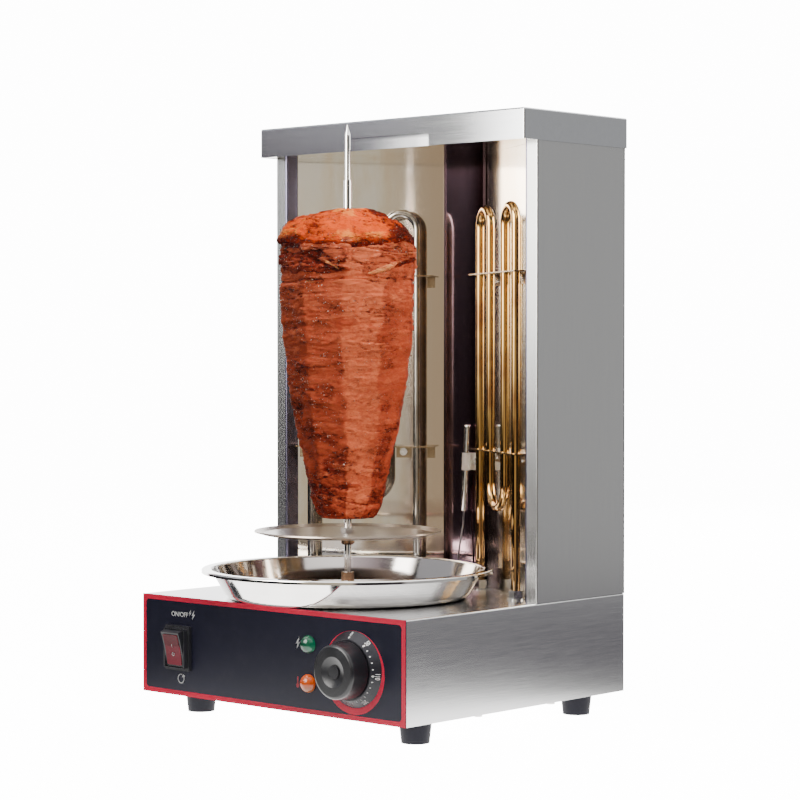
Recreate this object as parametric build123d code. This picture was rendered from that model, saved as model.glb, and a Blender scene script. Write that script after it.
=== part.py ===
"""Vertical rotisserie oven: a table-top machine that turns a stack of meat before two heating elements.

Millimetres, +Z up. The origin is on the surface that the feet stand on, straight below the spit's axis.
+X is to the right of someone who faces the control panel, and -Y points at them.
"""

from build123d import *
import math
import os

# Sheet metal and fits
SHEET = 1.0               # stainless sheet of the casing
INNER_BEND = 0.6          # inside radius of every fold
FIT = 0.3                 # gap where one fixed or lifted piece slips past another
RUNNING = 0.05            # radial gap of a shaft in its bearing
PLUG = 2.0                # depth of a shallow recess or a screw's bite beyond a sheet

# Base box
BASE_WIDTH = 310.0
BASE_DEPTH = 283.0
BASE_HEIGHT = 85.0
BASE_FLANGE = 10.0        # inward fold that carries the bottom plate
SPIT_SETBACK = 96.0       # spit axis behind the front of the base
BOTTOM_SCREW_SPACING = 94.0
BASE_SLOT_COUNT = 7
BASE_SLOT_LENGTH = 34.0
SLOT_WIDTH = 4.0
SLOT_PITCH = 9.0

# Feet
FOOT_HEIGHT = 16.0
FOOT_TOP_RADIUS = 13.2
FOOT_BOTTOM_RADIUS = 11.4
FOOT_INSET_LEFT = 45.0
FOOT_INSET_RIGHT = 14.0
FOOT_INSET_FRONT = 27.0
FOOT_INSET_REAR = 50.0
FOOT_RECESS_RADIUS = 5.5
FOOT_RECESS_DEPTH = 7.0

# Screws
SCREW_RADIUS = 1.9
SCREW_HEAD_RADIUS = 3.4
SCREW_HEAD_HEIGHT = 2.0
SCREW_LENGTH = 7.0
SCREW_SLOT = 0.8

# Upright housing and its reflectors
UPRIGHT_SETBACK = 163.0   # front of the upright behind the front of the base
UPRIGHT_HEIGHT = 412.0
FRONT_FLANGE = 13.9       # width of the upright's front edge on each side
RETURN_DEPTH = 14.0       # fold that runs back from that edge
REAR_FLANGE = 14.0
CAVITY_DEPTH = 85.0       # from the upright's front to the middle reflector
BACK_WIDTH = 48.6         # middle reflector
WING_FLANGE = 9.0
REAR_SLOT_COUNT = 12
REAR_SLOT_LENGTH = 70.0
REAR_BANK_SPACING = 103.0

# Top cover
COVER_LIP = 26.0
COVER_SCREW_SPACING = 155.0
COVER_OVERHANG = 18.8     # front lip ahead of the upright
RELIEF_WIDTH = 99.0       # pressed band at the foot of the front lip
RELIEF_HEIGHT = 11.0
RELIEF_DEPTH = 2.0
RELIEF_CORNER = 4.0

# Heating elements
TUBE_RADIUS = 4.0
TUBE_STANDOFF = 12.4      # tube centre in front of its reflector
TUBE_INSET = 16.8         # outer leg from the reflector's outer end
LOOP_WIDTH = 29.4         # leg to leg under a top bend
LOOP_SPACING = 39.4       # leg to leg over the bottom bend
TUBE_TOP = 339.0          # top of the bends above the base
TUBE_BEND_BOTTOM = 72.0   # bottom bend above the base
TUBE_TAIL = 12.0          # leg inside the base
TUBE_HOLE_GAP = 0.5
GLAND_NUT_WIDTH = 11.0
GLAND_NUT_HEIGHT = 7.0
GLAND_WASHER_RADIUS = 7.9
GLAND_WASHER_HEIGHT = 1.4
SPACER_HEIGHTS = (124.5, 279.3)
SPACER_OVERRUN = 14.0     # strip beyond the outer legs
SPACER_FRONT = 6.5        # strip in front of the tube centres
SPACER_TAB_WIDTH = 14.0
SPACER_TAB_HEIGHT = 11.0
SPACER_END_TAB = 7.0      # width of the plain tab at each end

# Thermostat sensor
BULB_RADIUS = 2.8
BULB_LENGTH = 78.0
BULB_BOTTOM = 66.8        # above the base
BULB_X = 7.5
BULB_STANDOFF = 6.0       # bulb axis in front of the middle reflector
BULB_TILT = 3.3           # degrees
CLIP_WIDTH = 21.0
CLIP_LEFT = 7.0           # part of the clip left of the bulb
CLIP_SCREW_INSET = 5.2    # screw from the clip's right edge
CLIP_HEIGHT = 15.5
CLIP_ABOVE_BULB = 37.0    # foot of the clip above the foot of the bulb
CAPILLARY_RADIUS = 0.8
CAPILLARY_BEND = 15.0
CAPILLARY_LEAD = 12.0     # straight run out of the sensor
CAPILLARY_SWAY = 1.5      # bow to the left on its way down
CAPILLARY_SWAY_HEIGHT = 36.6

# Spit and drive
HUB_RADIUS = 5.7
HUB_HEIGHT = 21.8         # top of the drive hub above the base
DRIVE_SHAFT_RADIUS = 4.0
DRIVE_SHAFT_DEPTH = 20.0  # below the top of the base
SOCKET_WIDTH = 6.4
SOCKET_DEPTH = 14.0
TANG_RADIUS = 3.1
BUSH_RADIUS = 6.0
BUSH_FLANGE_RADIUS = 8.5
BUSH_FLANGE_HEIGHT = 1.5
BUSH_DEPTH = 5.0
MOTOR_WIDTH = 54.0
GEARBOX_HEIGHT = 20.0
MOTOR_RADIUS = 25.0
MOTOR_HEIGHT = 24.0
MOTOR_STUD_RADIUS = 2.0
MOTOR_EAR = 9.0
MOTOR_NUT_WIDTH = 7.0
DISC_HEIGHT = 54.4        # plate that carries the meat, above the base
DISC_RADIUS = 80.0
DISC_THICKNESS = 1.2
DISC_FLARE_WIDTH = 8.0
DISC_FLARE_RISE = 2.2
DISC_HUB_RADIUS = 6.0
DISC_HUB_HEIGHT = 9.0
DISC_HUB_CHAMFER = 1.5
DISC_NUT_RADIUS = 5.2
DISC_NUT_HEIGHT = 4.0
ROD_RADIUS = 3.2
ROD_THIN_RADIUS = 2.3
ROD_STEP = 357.0          # where the rod gets thinner, above the base
ROD_TIP = 404.4           # point above the base
ROD_POINT = 9.0
ROD_TIP_RADIUS = 0.3

# Stack of meat
MEAT_BOTTOM = 68.5        # above the base
MEAT_TOP = 333.0
MEAT_FOOT_RADIUS = 27.0
MEAT_FOOT_ROUND = 8.0     # rounded edge under the foot
MEAT_MIDDLE_RADIUS = 50.5
MEAT_MIDDLE = 111.0       # above the stack's own foot
MEAT_SHOULDER_RADIUS = 57.0
MEAT_SHOULDER = 190.0     # where the stack reaches its full width, above its own foot
MEAT_CROWN_RADIUS = 34.0
MEAT_CROWN_HEIGHT = 24.0  # rounded top
MEAT_CROWN_BULGE = 8.0    # below the top at the middle of that rounding

# Drip pan
PAN_RADIUS = 125.0
PAN_HEIGHT = 25.6
PAN_THICKNESS = 0.8
PAN_FLOOR_RADIUS = 103.0
PAN_MOUTH_RADIUS = 117.0
PAN_BEND = 9.0
PAN_EDGE = 2.4            # turned-down edge of the rim
PAN_COLLAR_RADIUS = 17.0
PAN_COLLAR_HEIGHT = 8.0

# Control panel
PANEL_THICKNESS = 1.0
CONTROL_HEIGHT = 41.3     # knob and switch centres above the bottom of the base
SWITCH_INSET = 46.7       # centre from the left side of the base
SWITCH_WIDTH = 30.4
SWITCH_HEIGHT = 38.6
SWITCH_FLANGE = 3.0
SWITCH_COLLAR = 6.6       # front of the collar before the panel
SWITCH_COLLAR_INSET = 2.0
SWITCH_WALL = 1.9
SWITCH_DEPTH = 26.0
SWITCH_POCKET = 8.0       # room for the rocker behind the panel's face
ROCKER_PIVOT = 3.6        # pivot before the panel
ROCKER_FACE = 4.9         # rocker's face before its pivot
ROCKER_BACK = 3.0
ROCKER_TILT = 13.0        # degrees from level to either end
ROCKER_DISH = 0.9
ROCKER_RIM = 2.0
ROCKER_PIN_RADIUS = 1.2
ROCKER_PIN_LENGTH = 1.0
FACE_PROUD = 0.5
FACE_SEAT = 1.2
TERMINAL_WIDTH = 6.3
TERMINAL_LENGTH = 8.0
LAMP_INSET = 107.0        # centres from the right side of the base
LAMP_SPACING = 32.0
LAMP_RADIUS = 7.5
LAMP_FLANGE = 1.4
LAMP_DOME = 5.6
LAMP_STEM_RADIUS = 5.0
LAMP_STEM_LENGTH = 22.0
LAMP_CLIP_RADIUS = 8.0
LAMP_CLIP_HEIGHT = 3.0
KNOB_INSET = 56.3         # centre from the right side of the base
DIAL_RADIUS = 30.9
DIAL_TOP_RADIUS = 24.6
DIAL_HEIGHT = 7.0
DIAL_WALL = 1.8
KNOB_GAP = 1.0            # knob before the dial
KNOB_REAR_RADIUS = 23.3
KNOB_FRONT_RADIUS = 21.8
KNOB_LENGTH = 16.6
KNOB_ROUND = 2.6
KNOB_DISH_RADIUS = 12.5
KNOB_DISH_DEPTH = 2.6
KNOB_CAP_RADIUS = 5.6
KNOB_CAP_HEIGHT = 1.4
KNOB_SHAFT_RADIUS = 3.0
THERMOSTAT_WIDTH = 36.0
THERMOSTAT_HEIGHT = 32.0
THERMOSTAT_DEPTH = 30.0
NECK_RADIUS = 5.0
NECK_LENGTH = 4.5

# Mains entry
GLAND_INSET = 47.0        # centre from the right side of the base
GLAND_HEIGHT = 26.0       # above the bottom of the base
GLAND_RADIUS = 11.0
GLAND_LENGTH = 13.0
GLAND_BODY_RADIUS = 7.5
GLAND_BORE = 4.2
GLAND_INSIDE = 9.0
BLOCK_WIDTH = 34.0
BLOCK_DEPTH = 20.0
BLOCK_HEIGHT = 15.0
BLOCK_SETBACK = 50.0      # from the rear wall
BLOCK_POLES = 3

# Levels and planes that follow from the sizes above
FRONT = -SPIT_SETBACK
REAR = FRONT + BASE_DEPTH
SIDE = BASE_WIDTH / 2
SWITCH_X = SWITCH_INSET - SIDE
LAMP_X = SIDE - LAMP_INSET
KNOB_X = SIDE - KNOB_INSET
GLAND_X = SIDE - GLAND_INSET
BOTTOM = FOOT_HEIGHT
TOP = BOTTOM + BASE_HEIGHT
UPRIGHT_FRONT = FRONT + UPRIGHT_SETBACK
HEAD = TOP + UPRIGHT_HEIGHT
COVER_BOTTOM = HEAD + SHEET - COVER_LIP
CEILING = COVER_BOTTOM + FIT
BACK_FACE = UPRIGHT_FRONT + CAVITY_DEPTH
CONTROL_Z = BOTTOM + CONTROL_HEIGHT
WALL_INSIDE = FRONT + PANEL_THICKNESS + SHEET
RETURN_X = SIDE - FRONT_FLANGE
WING_START = (RETURN_X + SHEET, UPRIGHT_FRONT + RETURN_DEPTH)
WING_END = (BACK_WIDTH / 2 + FIT, BACK_FACE + SHEET)
WING_RUN = (WING_END[0] - WING_START[0], WING_END[1] - WING_START[1], 0)
WING = Plane(origin=(*WING_START, 0), x_dir=WING_RUN, z_dir=(0, 0, 1))
LEGS = tuple(TUBE_INSET + step for step in
             (0, LOOP_WIDTH, LOOP_WIDTH + LOOP_SPACING, 2 * LOOP_WIDTH + LOOP_SPACING))
FOOT_PLACES = {
    "foot_front_left": (FOOT_INSET_LEFT - SIDE, FRONT + FOOT_INSET_FRONT),
    "foot_front_right": (SIDE - FOOT_INSET_RIGHT, FRONT + FOOT_INSET_FRONT),
    "foot_rear_left": (FOOT_INSET_LEFT - SIDE, REAR - FOOT_INSET_REAR),
    "foot_rear_right": (SIDE - FOOT_INSET_RIGHT, REAR - FOOT_INSET_REAR),
}


def block(x0, x1, y0, y1, z0, z1):
    """Box between two opposite corners."""
    return Pos((x0 + x1) / 2, (y0 + y1) / 2, (z0 + z1) / 2) * Box(x1 - x0, y1 - y0, z1 - z0)


def upright_rod(radius, z0, z1, x=0.0, y=0.0):
    """Round bar along Z."""
    return Pos(x, y, (z0 + z1) / 2) * Cylinder(radius, z1 - z0)


def level_rod(radius, y0, y1, x, z):
    """Round bar along Y."""
    return Pos(x, (y0 + y1) / 2, z) * Rot(90, 0, 0) * Cylinder(radius, y1 - y0)


def turned(outline):
    """Solid turned about the Z axis from an outline in radius and height."""
    return revolve(Plane.XZ * outline, axis=Axis.Z)


def facing(solid, x, z, y=FRONT):
    """Puts a solid made along +Z from the origin on the control panel, pointing at the user."""
    return Pos(x, y, z) * Rot(90, 0, 0) * solid


def folded(path, thickness=SHEET, inner_bend=INNER_BEND):
    """Section of a sheet folded along an open path, with its thickness on the path's left."""
    points = [Vector(x, y) for x, y in path]
    runs = [(after - before).normalized() for before, after in zip(points, points[1:])]
    normals = [Vector(-run.Y, run.X) for run in runs]
    bends = inner_bend if isinstance(inner_bend, (list, tuple)) else [inner_bend] * (len(points) - 2)
    offset_side = [points[0] + normals[0] * thickness]
    rounds = []
    for point, before, after, bend in zip(points[1:-1], normals, normals[1:], bends):
        mitre = point + (before + after) * (thickness / (1 + before.dot(after)))
        turns_left = before.cross(after).Z > 0
        offset_side.append(mitre)
        rounds.append((point, bend + (thickness if turns_left else 0)))
        rounds.append((mitre, bend + (0 if turns_left else thickness)))
    offset_side.append(points[-1] + normals[-1] * thickness)
    face = make_face(Polyline(*points, *reversed(offset_side), close=True))
    for corner, radius in rounds:
        face = fillet(face.vertices().sort_by_distance(corner)[0], radius)
    return face


def raised(section, z0, z1):
    """Stands a plan section up between two heights."""
    return Pos(0, 0, z0) * extrude(section, amount=z1 - z0)


def mirrored(solid):
    """The same solid on the other side of the machine."""
    return mirror(solid, about=Plane.YZ)


def hexagon(width, z0, z1, bore):
    """Hexagonal nut with a plain bore, about the Z axis."""
    nut = extrude(RegularPolygon(width / 2, 6, major_radius=False), amount=z1 - z0)
    return Pos(0, 0, z0) * (nut - upright_rod(bore, 0, z1 - z0))


def screw(length=SCREW_LENGTH, radius=SCREW_RADIUS):
    """Pan-head screw along Z: the head's seat is at the origin and the shank goes down."""
    head = upright_rod(SCREW_HEAD_RADIUS, 0, SCREW_HEAD_HEIGHT)
    slot = block(-SCREW_HEAD_RADIUS, SCREW_HEAD_RADIUS, -SCREW_SLOT / 2, SCREW_SLOT / 2,
                 SCREW_HEAD_HEIGHT - SCREW_SLOT, SCREW_HEAD_HEIGHT)
    return head - slot + upright_rod(radius, -length, 0)


def wall_slots(count, length, pitch, x, z, y0, y1):
    """Cutters for a row of level vent slots, one above the other, through a wall square to Y."""
    slot = extrude(SlotOverall(length, SLOT_WIDTH), amount=y1 - y0)
    return [Pos(x, y1, z + (index - (count - 1) / 2) * pitch) * Rot(90, 0, 0) * slot
            for index in range(count)]


def save(node, *pieces):
    """Writes one node as a STEP file."""
    solids = [solid for piece in pieces for solid in piece.solids()]
    export_step(solids[0] if len(solids) == 1 else Compound(children=solids), f"parts/{node}.step")


# ------------------------------------------------------------------ base

def control_holes(y0, y1):
    """Cutters for what passes through the control panel and the wall behind it."""
    half_width = SWITCH_WIDTH / 2 - SWITCH_COLLAR_INSET + FIT
    half_height = SWITCH_HEIGHT / 2 - SWITCH_COLLAR_INSET + FIT
    holes = [block(SWITCH_X - half_width, SWITCH_X + half_width, y0, y1,
                   CONTROL_Z - half_height, CONTROL_Z + half_height)]
    holes += [level_rod(LAMP_STEM_RADIUS + FIT, y0, y1, LAMP_X, z) for z in lamp_heights()]
    holes.append(level_rod(NECK_RADIUS + FIT, y0, y1, KNOB_X, CONTROL_Z))
    return holes


def lamp_heights():
    """Centres of the upper and the lower lamp."""
    return CONTROL_Z + LAMP_SPACING / 2, CONTROL_Z - LAMP_SPACING / 2


def leg_places():
    """Where the four ends of the two elements go through the base."""
    places = []
    for leg in (LEGS[0], LEGS[-1]):
        point = WING.from_local_coords(Vector(leg, TUBE_STANDOFF, 0))
        places += [(point.X, point.Y), (-point.X, point.Y)]
    return places


def capillary_hole():
    """Where the sensor's tube goes through the base."""
    return BULB_X - BULB_STANDOFF, BACK_FACE - BULB_STANDOFF * 2


def motor_studs():
    """Places of the studs that hang the motor from the base."""
    reach = MOTOR_WIDTH / 2 + MOTOR_EAR / 2
    return [(-reach, 0.0), (reach, 0.0)]


def base_shell():
    """Folded box, open underneath, with an inward flange for the bottom plate."""
    wall_front = FRONT + PANEL_THICKNESS
    outer = block(-SIDE, SIDE, wall_front, REAR, BOTTOM, TOP)
    upright_edges = outer.edges().filter_by(Axis.Z).group_by(Axis.Y)[-1]
    top_edges = outer.edges().group_by(Axis.Z)[-1]
    rounded = upright_edges + top_edges.filter_by(Axis.Y) + top_edges.filter_by(Axis.X).group_by(Axis.Y)[-1]
    outer = fillet(rounded, INNER_BEND + SHEET)
    room = block(SHEET - SIDE, SIDE - SHEET, wall_front + SHEET, REAR - SHEET,
                 BOTTOM + 2 * SHEET, TOP - SHEET)
    mouth = block(SHEET + BASE_FLANGE - SIDE, SIDE - SHEET - BASE_FLANGE,
                  wall_front + SHEET + BASE_FLANGE, REAR - SHEET - BASE_FLANGE, BOTTOM, BOTTOM + 2 * SHEET)
    rebate = block(SHEET - SIDE, SIDE - SHEET, wall_front + SHEET, REAR - SHEET, BOTTOM, BOTTOM + SHEET)
    shell = outer - room - mouth - rebate
    for hole in control_holes(wall_front, WALL_INSIDE):
        shell -= hole
    shell -= upright_rod(BUSH_RADIUS, TOP - SHEET, TOP)
    for x, y in leg_places():
        shell -= upright_rod(TUBE_RADIUS + TUBE_HOLE_GAP, TOP - SHEET, TOP, x, y)
    shell -= upright_rod(CAPILLARY_RADIUS + FIT, TOP - SHEET, TOP, *capillary_hole())
    shell -= level_rod(GLAND_BODY_RADIUS, REAR - SHEET, REAR, GLAND_X, BOTTOM + GLAND_HEIGHT)
    for slot in wall_slots(BASE_SLOT_COUNT, BASE_SLOT_LENGTH, SLOT_PITCH, 0,
                           BOTTOM + BASE_HEIGHT / 2, REAR - SHEET, REAR):
        shell -= slot
    for x, y in FOOT_PLACES.values():
        shell -= upright_rod(SCREW_RADIUS + FIT, BOTTOM + SHEET, BOTTOM + 2 * SHEET, x, y)
    for x, y in bottom_screw_places():
        shell -= upright_rod(SCREW_RADIUS, BOTTOM + SHEET, BOTTOM + 2 * SHEET, x, y)
    return shell


def bottom_screw_places():
    """Screws that hold the bottom plate to the flange."""
    x = SIDE - SHEET - BASE_FLANGE / 2
    middle, half = (FRONT + REAR) / 2, BOTTOM_SCREW_SPACING / 2
    return [(side * x, y) for side in (-1, 1) for y in (middle - half, middle + half)]


def bottom_plate():
    """Plate that closes the base and carries the feet."""
    inset = SHEET + FIT
    plate = block(inset - SIDE, SIDE - inset, WALL_INSIDE + FIT, REAR - inset, BOTTOM, BOTTOM + SHEET)
    for x, y in (*FOOT_PLACES.values(), *bottom_screw_places()):
        plate -= upright_rod(SCREW_RADIUS, BOTTOM, BOTTOM + SHEET, x, y)
    return plate


def front_panel():
    """Plate over the whole front of the base, pierced for the controls."""
    panel = block(-SIDE, SIDE, FRONT, FRONT + PANEL_THICKNESS, BOTTOM, TOP)
    for hole in control_holes(FRONT, FRONT + PANEL_THICKNESS):
        panel -= hole
    return panel


def foot(x, y):
    """Tapered rubber foot with a recess for its screw."""
    body = Pos(0, 0, FOOT_HEIGHT / 2) * Cone(FOOT_BOTTOM_RADIUS, FOOT_TOP_RADIUS, FOOT_HEIGHT)
    body -= upright_rod(FOOT_RECESS_RADIUS, 0, FOOT_RECESS_DEPTH)
    body -= upright_rod(SCREW_RADIUS, FOOT_RECESS_DEPTH, FOOT_HEIGHT)
    return Pos(x, y, 0) * body


def foot_screws():
    """One screw up through each foot."""
    length = FOOT_HEIGHT - FOOT_RECESS_DEPTH + 2 * SHEET + PLUG
    return [Pos(x, y, FOOT_RECESS_DEPTH) * Rot(180, 0, 0) * screw(length) for x, y in FOOT_PLACES.values()]


def bottom_screws():
    """Screws up through the bottom plate's edge."""
    return [Pos(x, y, BOTTOM) * Rot(180, 0, 0) * screw(2 * SHEET + PLUG) for x, y in bottom_screw_places()]


# --------------------------------------------------------------- upright

def side_panel():
    """Right side of the upright: wall, front edge, return into the cavity, and rear flange."""
    path = [(RETURN_X, UPRIGHT_FRONT + RETURN_DEPTH - FIT), (RETURN_X, UPRIGHT_FRONT),
            (SIDE, UPRIGHT_FRONT), (SIDE, REAR - SHEET), (SIDE - REAR_FLANGE, REAR - SHEET)]
    panel = raised(folded(path), TOP, HEAD)
    for z in rear_screw_heights():
        panel -= level_rod(SCREW_RADIUS, REAR - 2 * SHEET, REAR - SHEET, SIDE - REAR_FLANGE / 2, z)
    return panel


def rear_screw_heights():
    """Heights of the screws along each side of the rear panel."""
    edge = REAR_FLANGE
    low, high = TOP + edge, COVER_BOTTOM - edge
    return low, (low + high) / 2, high


def rear_panel():
    """Flat back of the upright with two banks of vent slots."""
    panel = block(-SIDE + FIT, SIDE - FIT, REAR - SHEET, REAR, TOP, HEAD)
    bank = REAR_SLOT_COUNT * SLOT_PITCH
    for z in (TOP + UPRIGHT_HEIGHT / 2 - bank, TOP + UPRIGHT_HEIGHT / 2 + bank):
        for x in (-REAR_BANK_SPACING / 2, REAR_BANK_SPACING / 2):
            for slot in wall_slots(REAR_SLOT_COUNT, REAR_SLOT_LENGTH, SLOT_PITCH, x, z, REAR - SHEET, REAR):
                panel -= slot
    for side in (-1, 1):
        for z in rear_screw_heights():
            panel -= level_rod(SCREW_RADIUS, REAR - SHEET, REAR, side * (SIDE - REAR_FLANGE / 2), z)
    for x, z in cover_screw_places():
        panel -= level_rod(SCREW_RADIUS, REAR - SHEET, REAR, x, z)
    return panel


def rear_panel_screws():
    """Screws that fix the rear panel to the side panels."""
    return [Pos(side * (SIDE - REAR_FLANGE / 2), REAR, z) * Rot(-90, 0, 0) * screw()
            for side in (-1, 1) for z in rear_screw_heights()]


def reflector_wing():
    """Right reflector: slanting wall of the cavity, tucked behind the side panel and the middle reflector."""
    slant = [(WING_START[0], WING_START[1] - WING_FLANGE), WING_START, WING_END,
             (WING_END[0] - WING_FLANGE, WING_END[1])]
    wing = raised(folded(list(reversed(slant)), inner_bend=INNER_BEND / 2), TOP, CEILING)
    for height in SPACER_HEIGHTS:
        for leg in spacer_tab_places():
            wing -= WING * level_rod(SCREW_RADIUS, -2 * SHEET, SHEET, leg,
                                     TOP + height - SPACER_TAB_HEIGHT / 2)
    return wing - level_rod(SCREW_RADIUS, WING_END[1], WING_END[1] + SHEET, clip_screw_x(), clip_middle())


def reflector_back():
    """Middle reflector, flat against the wings' inner flanges, with a round hem along each upright edge."""
    plate = block(-BACK_WIDTH / 2, BACK_WIDTH / 2, BACK_FACE, BACK_FACE + SHEET, TOP, CEILING)
    for side in (-1, 1):
        plate += upright_rod(SHEET, TOP, CEILING, side * (BACK_WIDTH / 2 - SHEET), BACK_FACE)
    return plate - level_rod(SCREW_RADIUS, BACK_FACE, BACK_FACE + SHEET, clip_screw_x(), clip_middle())


def ceiling_plate():
    """Roof of the cavity, which also closes the cover's underside in front of the upright."""
    wide = SIDE - FIT
    near = UPRIGHT_FRONT - COVER_OVERHANG + SHEET + FIT
    lip, inner = UPRIGHT_FRONT - FIT, RETURN_X - FIT
    outline = [(-wide, near), (wide, near), (wide, lip), (inner, lip), (inner, WING_START[1]),
               (WING_END[0], BACK_FACE + SHEET)]
    outline += [(-x, y) for x, y in reversed(outline[2:])]
    plate = raised(make_face(Polyline(*outline, close=True)), CEILING, CEILING + SHEET)
    half = RELIEF_WIDTH / 2 + SHEET + FIT
    return plate - block(-half, half, near, near + RELIEF_DEPTH, CEILING, CEILING + SHEET)


def relief_outline(grow):
    """Outline of the pressed band at the foot of the cover's front lip."""
    half = RELIEF_WIDTH / 2 + grow
    high = COVER_BOTTOM + RELIEF_HEIGHT + grow
    face = make_face(Polyline((-half, COVER_BOTTOM - PLUG), (half, COVER_BOTTOM - PLUG), (half, high),
                              (-half, high), close=True))
    return fillet(face.vertices().group_by(Axis.Y)[-1], RELIEF_CORNER + grow)


def top_cover():
    """Tray turned upside down over the upright, with a pressed band in its front lip."""
    near = UPRIGHT_FRONT - COVER_OVERHANG
    wide = SIDE + FIT + SHEET
    far = REAR + FIT + SHEET
    outer = block(-wide, wide, near, far, COVER_BOTTOM, HEAD + SHEET)
    outer = fillet(outer.edges().filter_by(Axis.Z) + outer.edges().group_by(Axis.Z)[-1], INNER_BEND + SHEET)
    room = block(SHEET - wide, wide - SHEET, near + SHEET, far - SHEET, COVER_BOTTOM, HEAD)
    press = Plane.XZ.offset(-near - RELIEF_DEPTH)
    outer -= extrude(press * relief_outline(0), amount=RELIEF_DEPTH)
    room -= extrude(Plane.XZ.offset(-near - RELIEF_DEPTH - SHEET) * relief_outline(SHEET),
                    amount=RELIEF_DEPTH + SHEET)
    cover = outer - room
    for x, z in cover_screw_places():
        cover -= level_rod(SCREW_RADIUS, far - SHEET, far, x, z)
    return cover


def cover_screw_places():
    """Places of the screws through the cover's rear lip, across the machine and in height."""
    return [(side * COVER_SCREW_SPACING / 2, COVER_BOTTOM + COVER_LIP / 2) for side in (-1, 1)]


def cover_screws():
    """Screws through the cover's rear lip."""
    return [Pos(x, REAR + FIT + SHEET, z) * Rot(-90, 0, 0) * screw() for x, z in cover_screw_places()]


# ------------------------------------------------------ heating elements

def heating_element():
    """Right element: one tube bent into two tall loops, upright before its reflector."""
    small, large = LOOP_WIDTH / 2, LOOP_SPACING / 2
    crown = TOP + TUBE_TOP - TUBE_RADIUS - small
    dip = TOP + TUBE_BEND_BOTTOM + TUBE_RADIUS + large
    foot_level = TOP - TUBE_TAIL
    first, second, third, fourth = LEGS
    edges = [
        Line((first, 0, foot_level), (first, 0, crown)),
        ThreePointArc((first, 0, crown), (first + small, 0, crown + small), (second, 0, crown)),
        Line((second, 0, crown), (second, 0, dip)),
        ThreePointArc((second, 0, dip), (second + large, 0, dip - large), (third, 0, dip)),
        Line((third, 0, dip), (third, 0, crown)),
        ThreePointArc((third, 0, crown), (third + small, 0, crown + small), (fourth, 0, crown)),
        Line((fourth, 0, crown), (fourth, 0, foot_level)),
    ]
    section = Plane(origin=(first, 0, foot_level), z_dir=(0, 0, 1)) * Circle(TUBE_RADIUS)
    tube = sweep(section, path=Wire([edge for piece in edges for edge in piece.edges()]))
    return WING * Pos(0, TUBE_STANDOFF, 0) * tube


def gland_washers():
    """Washer under each element nut."""
    washer = upright_rod(GLAND_WASHER_RADIUS, TOP, TOP + GLAND_WASHER_HEIGHT) \
        - upright_rod(TUBE_RADIUS, TOP, TOP + GLAND_WASHER_HEIGHT)
    return [Pos(x, y, 0) * washer for x, y in leg_places()]


def gland_nuts():
    """Nut that clamps each element leg to the base."""
    seat = TOP + GLAND_WASHER_HEIGHT
    nut = hexagon(GLAND_NUT_WIDTH, seat, seat + GLAND_NUT_HEIGHT, TUBE_RADIUS)
    return [Pos(x, y, 0) * nut for x, y in leg_places()]


def spacer_tab_places():
    """Middles of a spacer's screw tabs along the reflector."""
    return (LEGS[0] + LEGS[1]) / 2, (LEGS[2] + LEGS[3]) / 2


def element_spacer(height):
    """Right-hand strip that keeps the four legs apart, with tabs turned down against the reflector."""
    level = TOP + height
    foot_level = level - SPACER_TAB_HEIGHT
    start, end = LEGS[0] - SPACER_OVERRUN, LEGS[-1] + SPACER_OVERRUN
    strip = block(start, end, 0, TUBE_STANDOFF + SPACER_FRONT, level - SHEET, level)
    for middle in spacer_tab_places():
        strip += block(middle - SPACER_TAB_WIDTH / 2, middle + SPACER_TAB_WIDTH / 2, 0, SHEET,
                       foot_level, level)
        strip -= level_rod(SCREW_RADIUS, 0, SHEET, middle, level - SPACER_TAB_HEIGHT / 2)
    for edge in (start, end - SPACER_END_TAB):
        strip += block(edge, edge + SPACER_END_TAB, 0, SHEET, foot_level, level)
    for leg in LEGS:
        strip -= upright_rod(TUBE_RADIUS, level - SHEET, level, leg, TUBE_STANDOFF)
    return WING * strip


def spacer_screws():
    """Right-hand screws that hold the spacers to the reflector."""
    return [WING * Pos(middle, SHEET, TOP + height - SPACER_TAB_HEIGHT / 2) * Rot(-90, 0, 0) * screw()
            for height in SPACER_HEIGHTS for middle in spacer_tab_places()]


# --------------------------------------------------- thermostat's sensor

def clip_middle():
    """Height of the middle of the sensor's clip."""
    return TOP + BULB_BOTTOM + CLIP_ABOVE_BULB + CLIP_HEIGHT / 2


def clip_screw_x():
    """Place of the clip's screw across the machine."""
    return BULB_X - CLIP_LEFT + CLIP_WIDTH - CLIP_SCREW_INSET


def tilted(solid):
    """Leans a solid with the sensor about the middle of its clip."""
    return sensor_lean() * solid


def sensor_lean():
    """Place and lean of the sensor's axis at the middle of its clip."""
    return Pos(BULB_X, BACK_FACE - BULB_STANDOFF, clip_middle()) * Rot(0, BULB_TILT, 0)


def sensor_point(above_foot):
    """Point on the sensor's axis, at a distance above its lower end."""
    return (sensor_lean() * Pos(0, 0, TOP + BULB_BOTTOM - clip_middle() + above_foot)).position


def sensor_bulb():
    """Sealed sensor with rounded ends."""
    low = BULB_BOTTOM + TOP - clip_middle()
    bulb = upright_rod(BULB_RADIUS, low, low + BULB_LENGTH)
    return tilted(fillet(bulb.edges().filter_by(GeomType.CIRCLE), BULB_RADIUS / 2))


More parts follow.
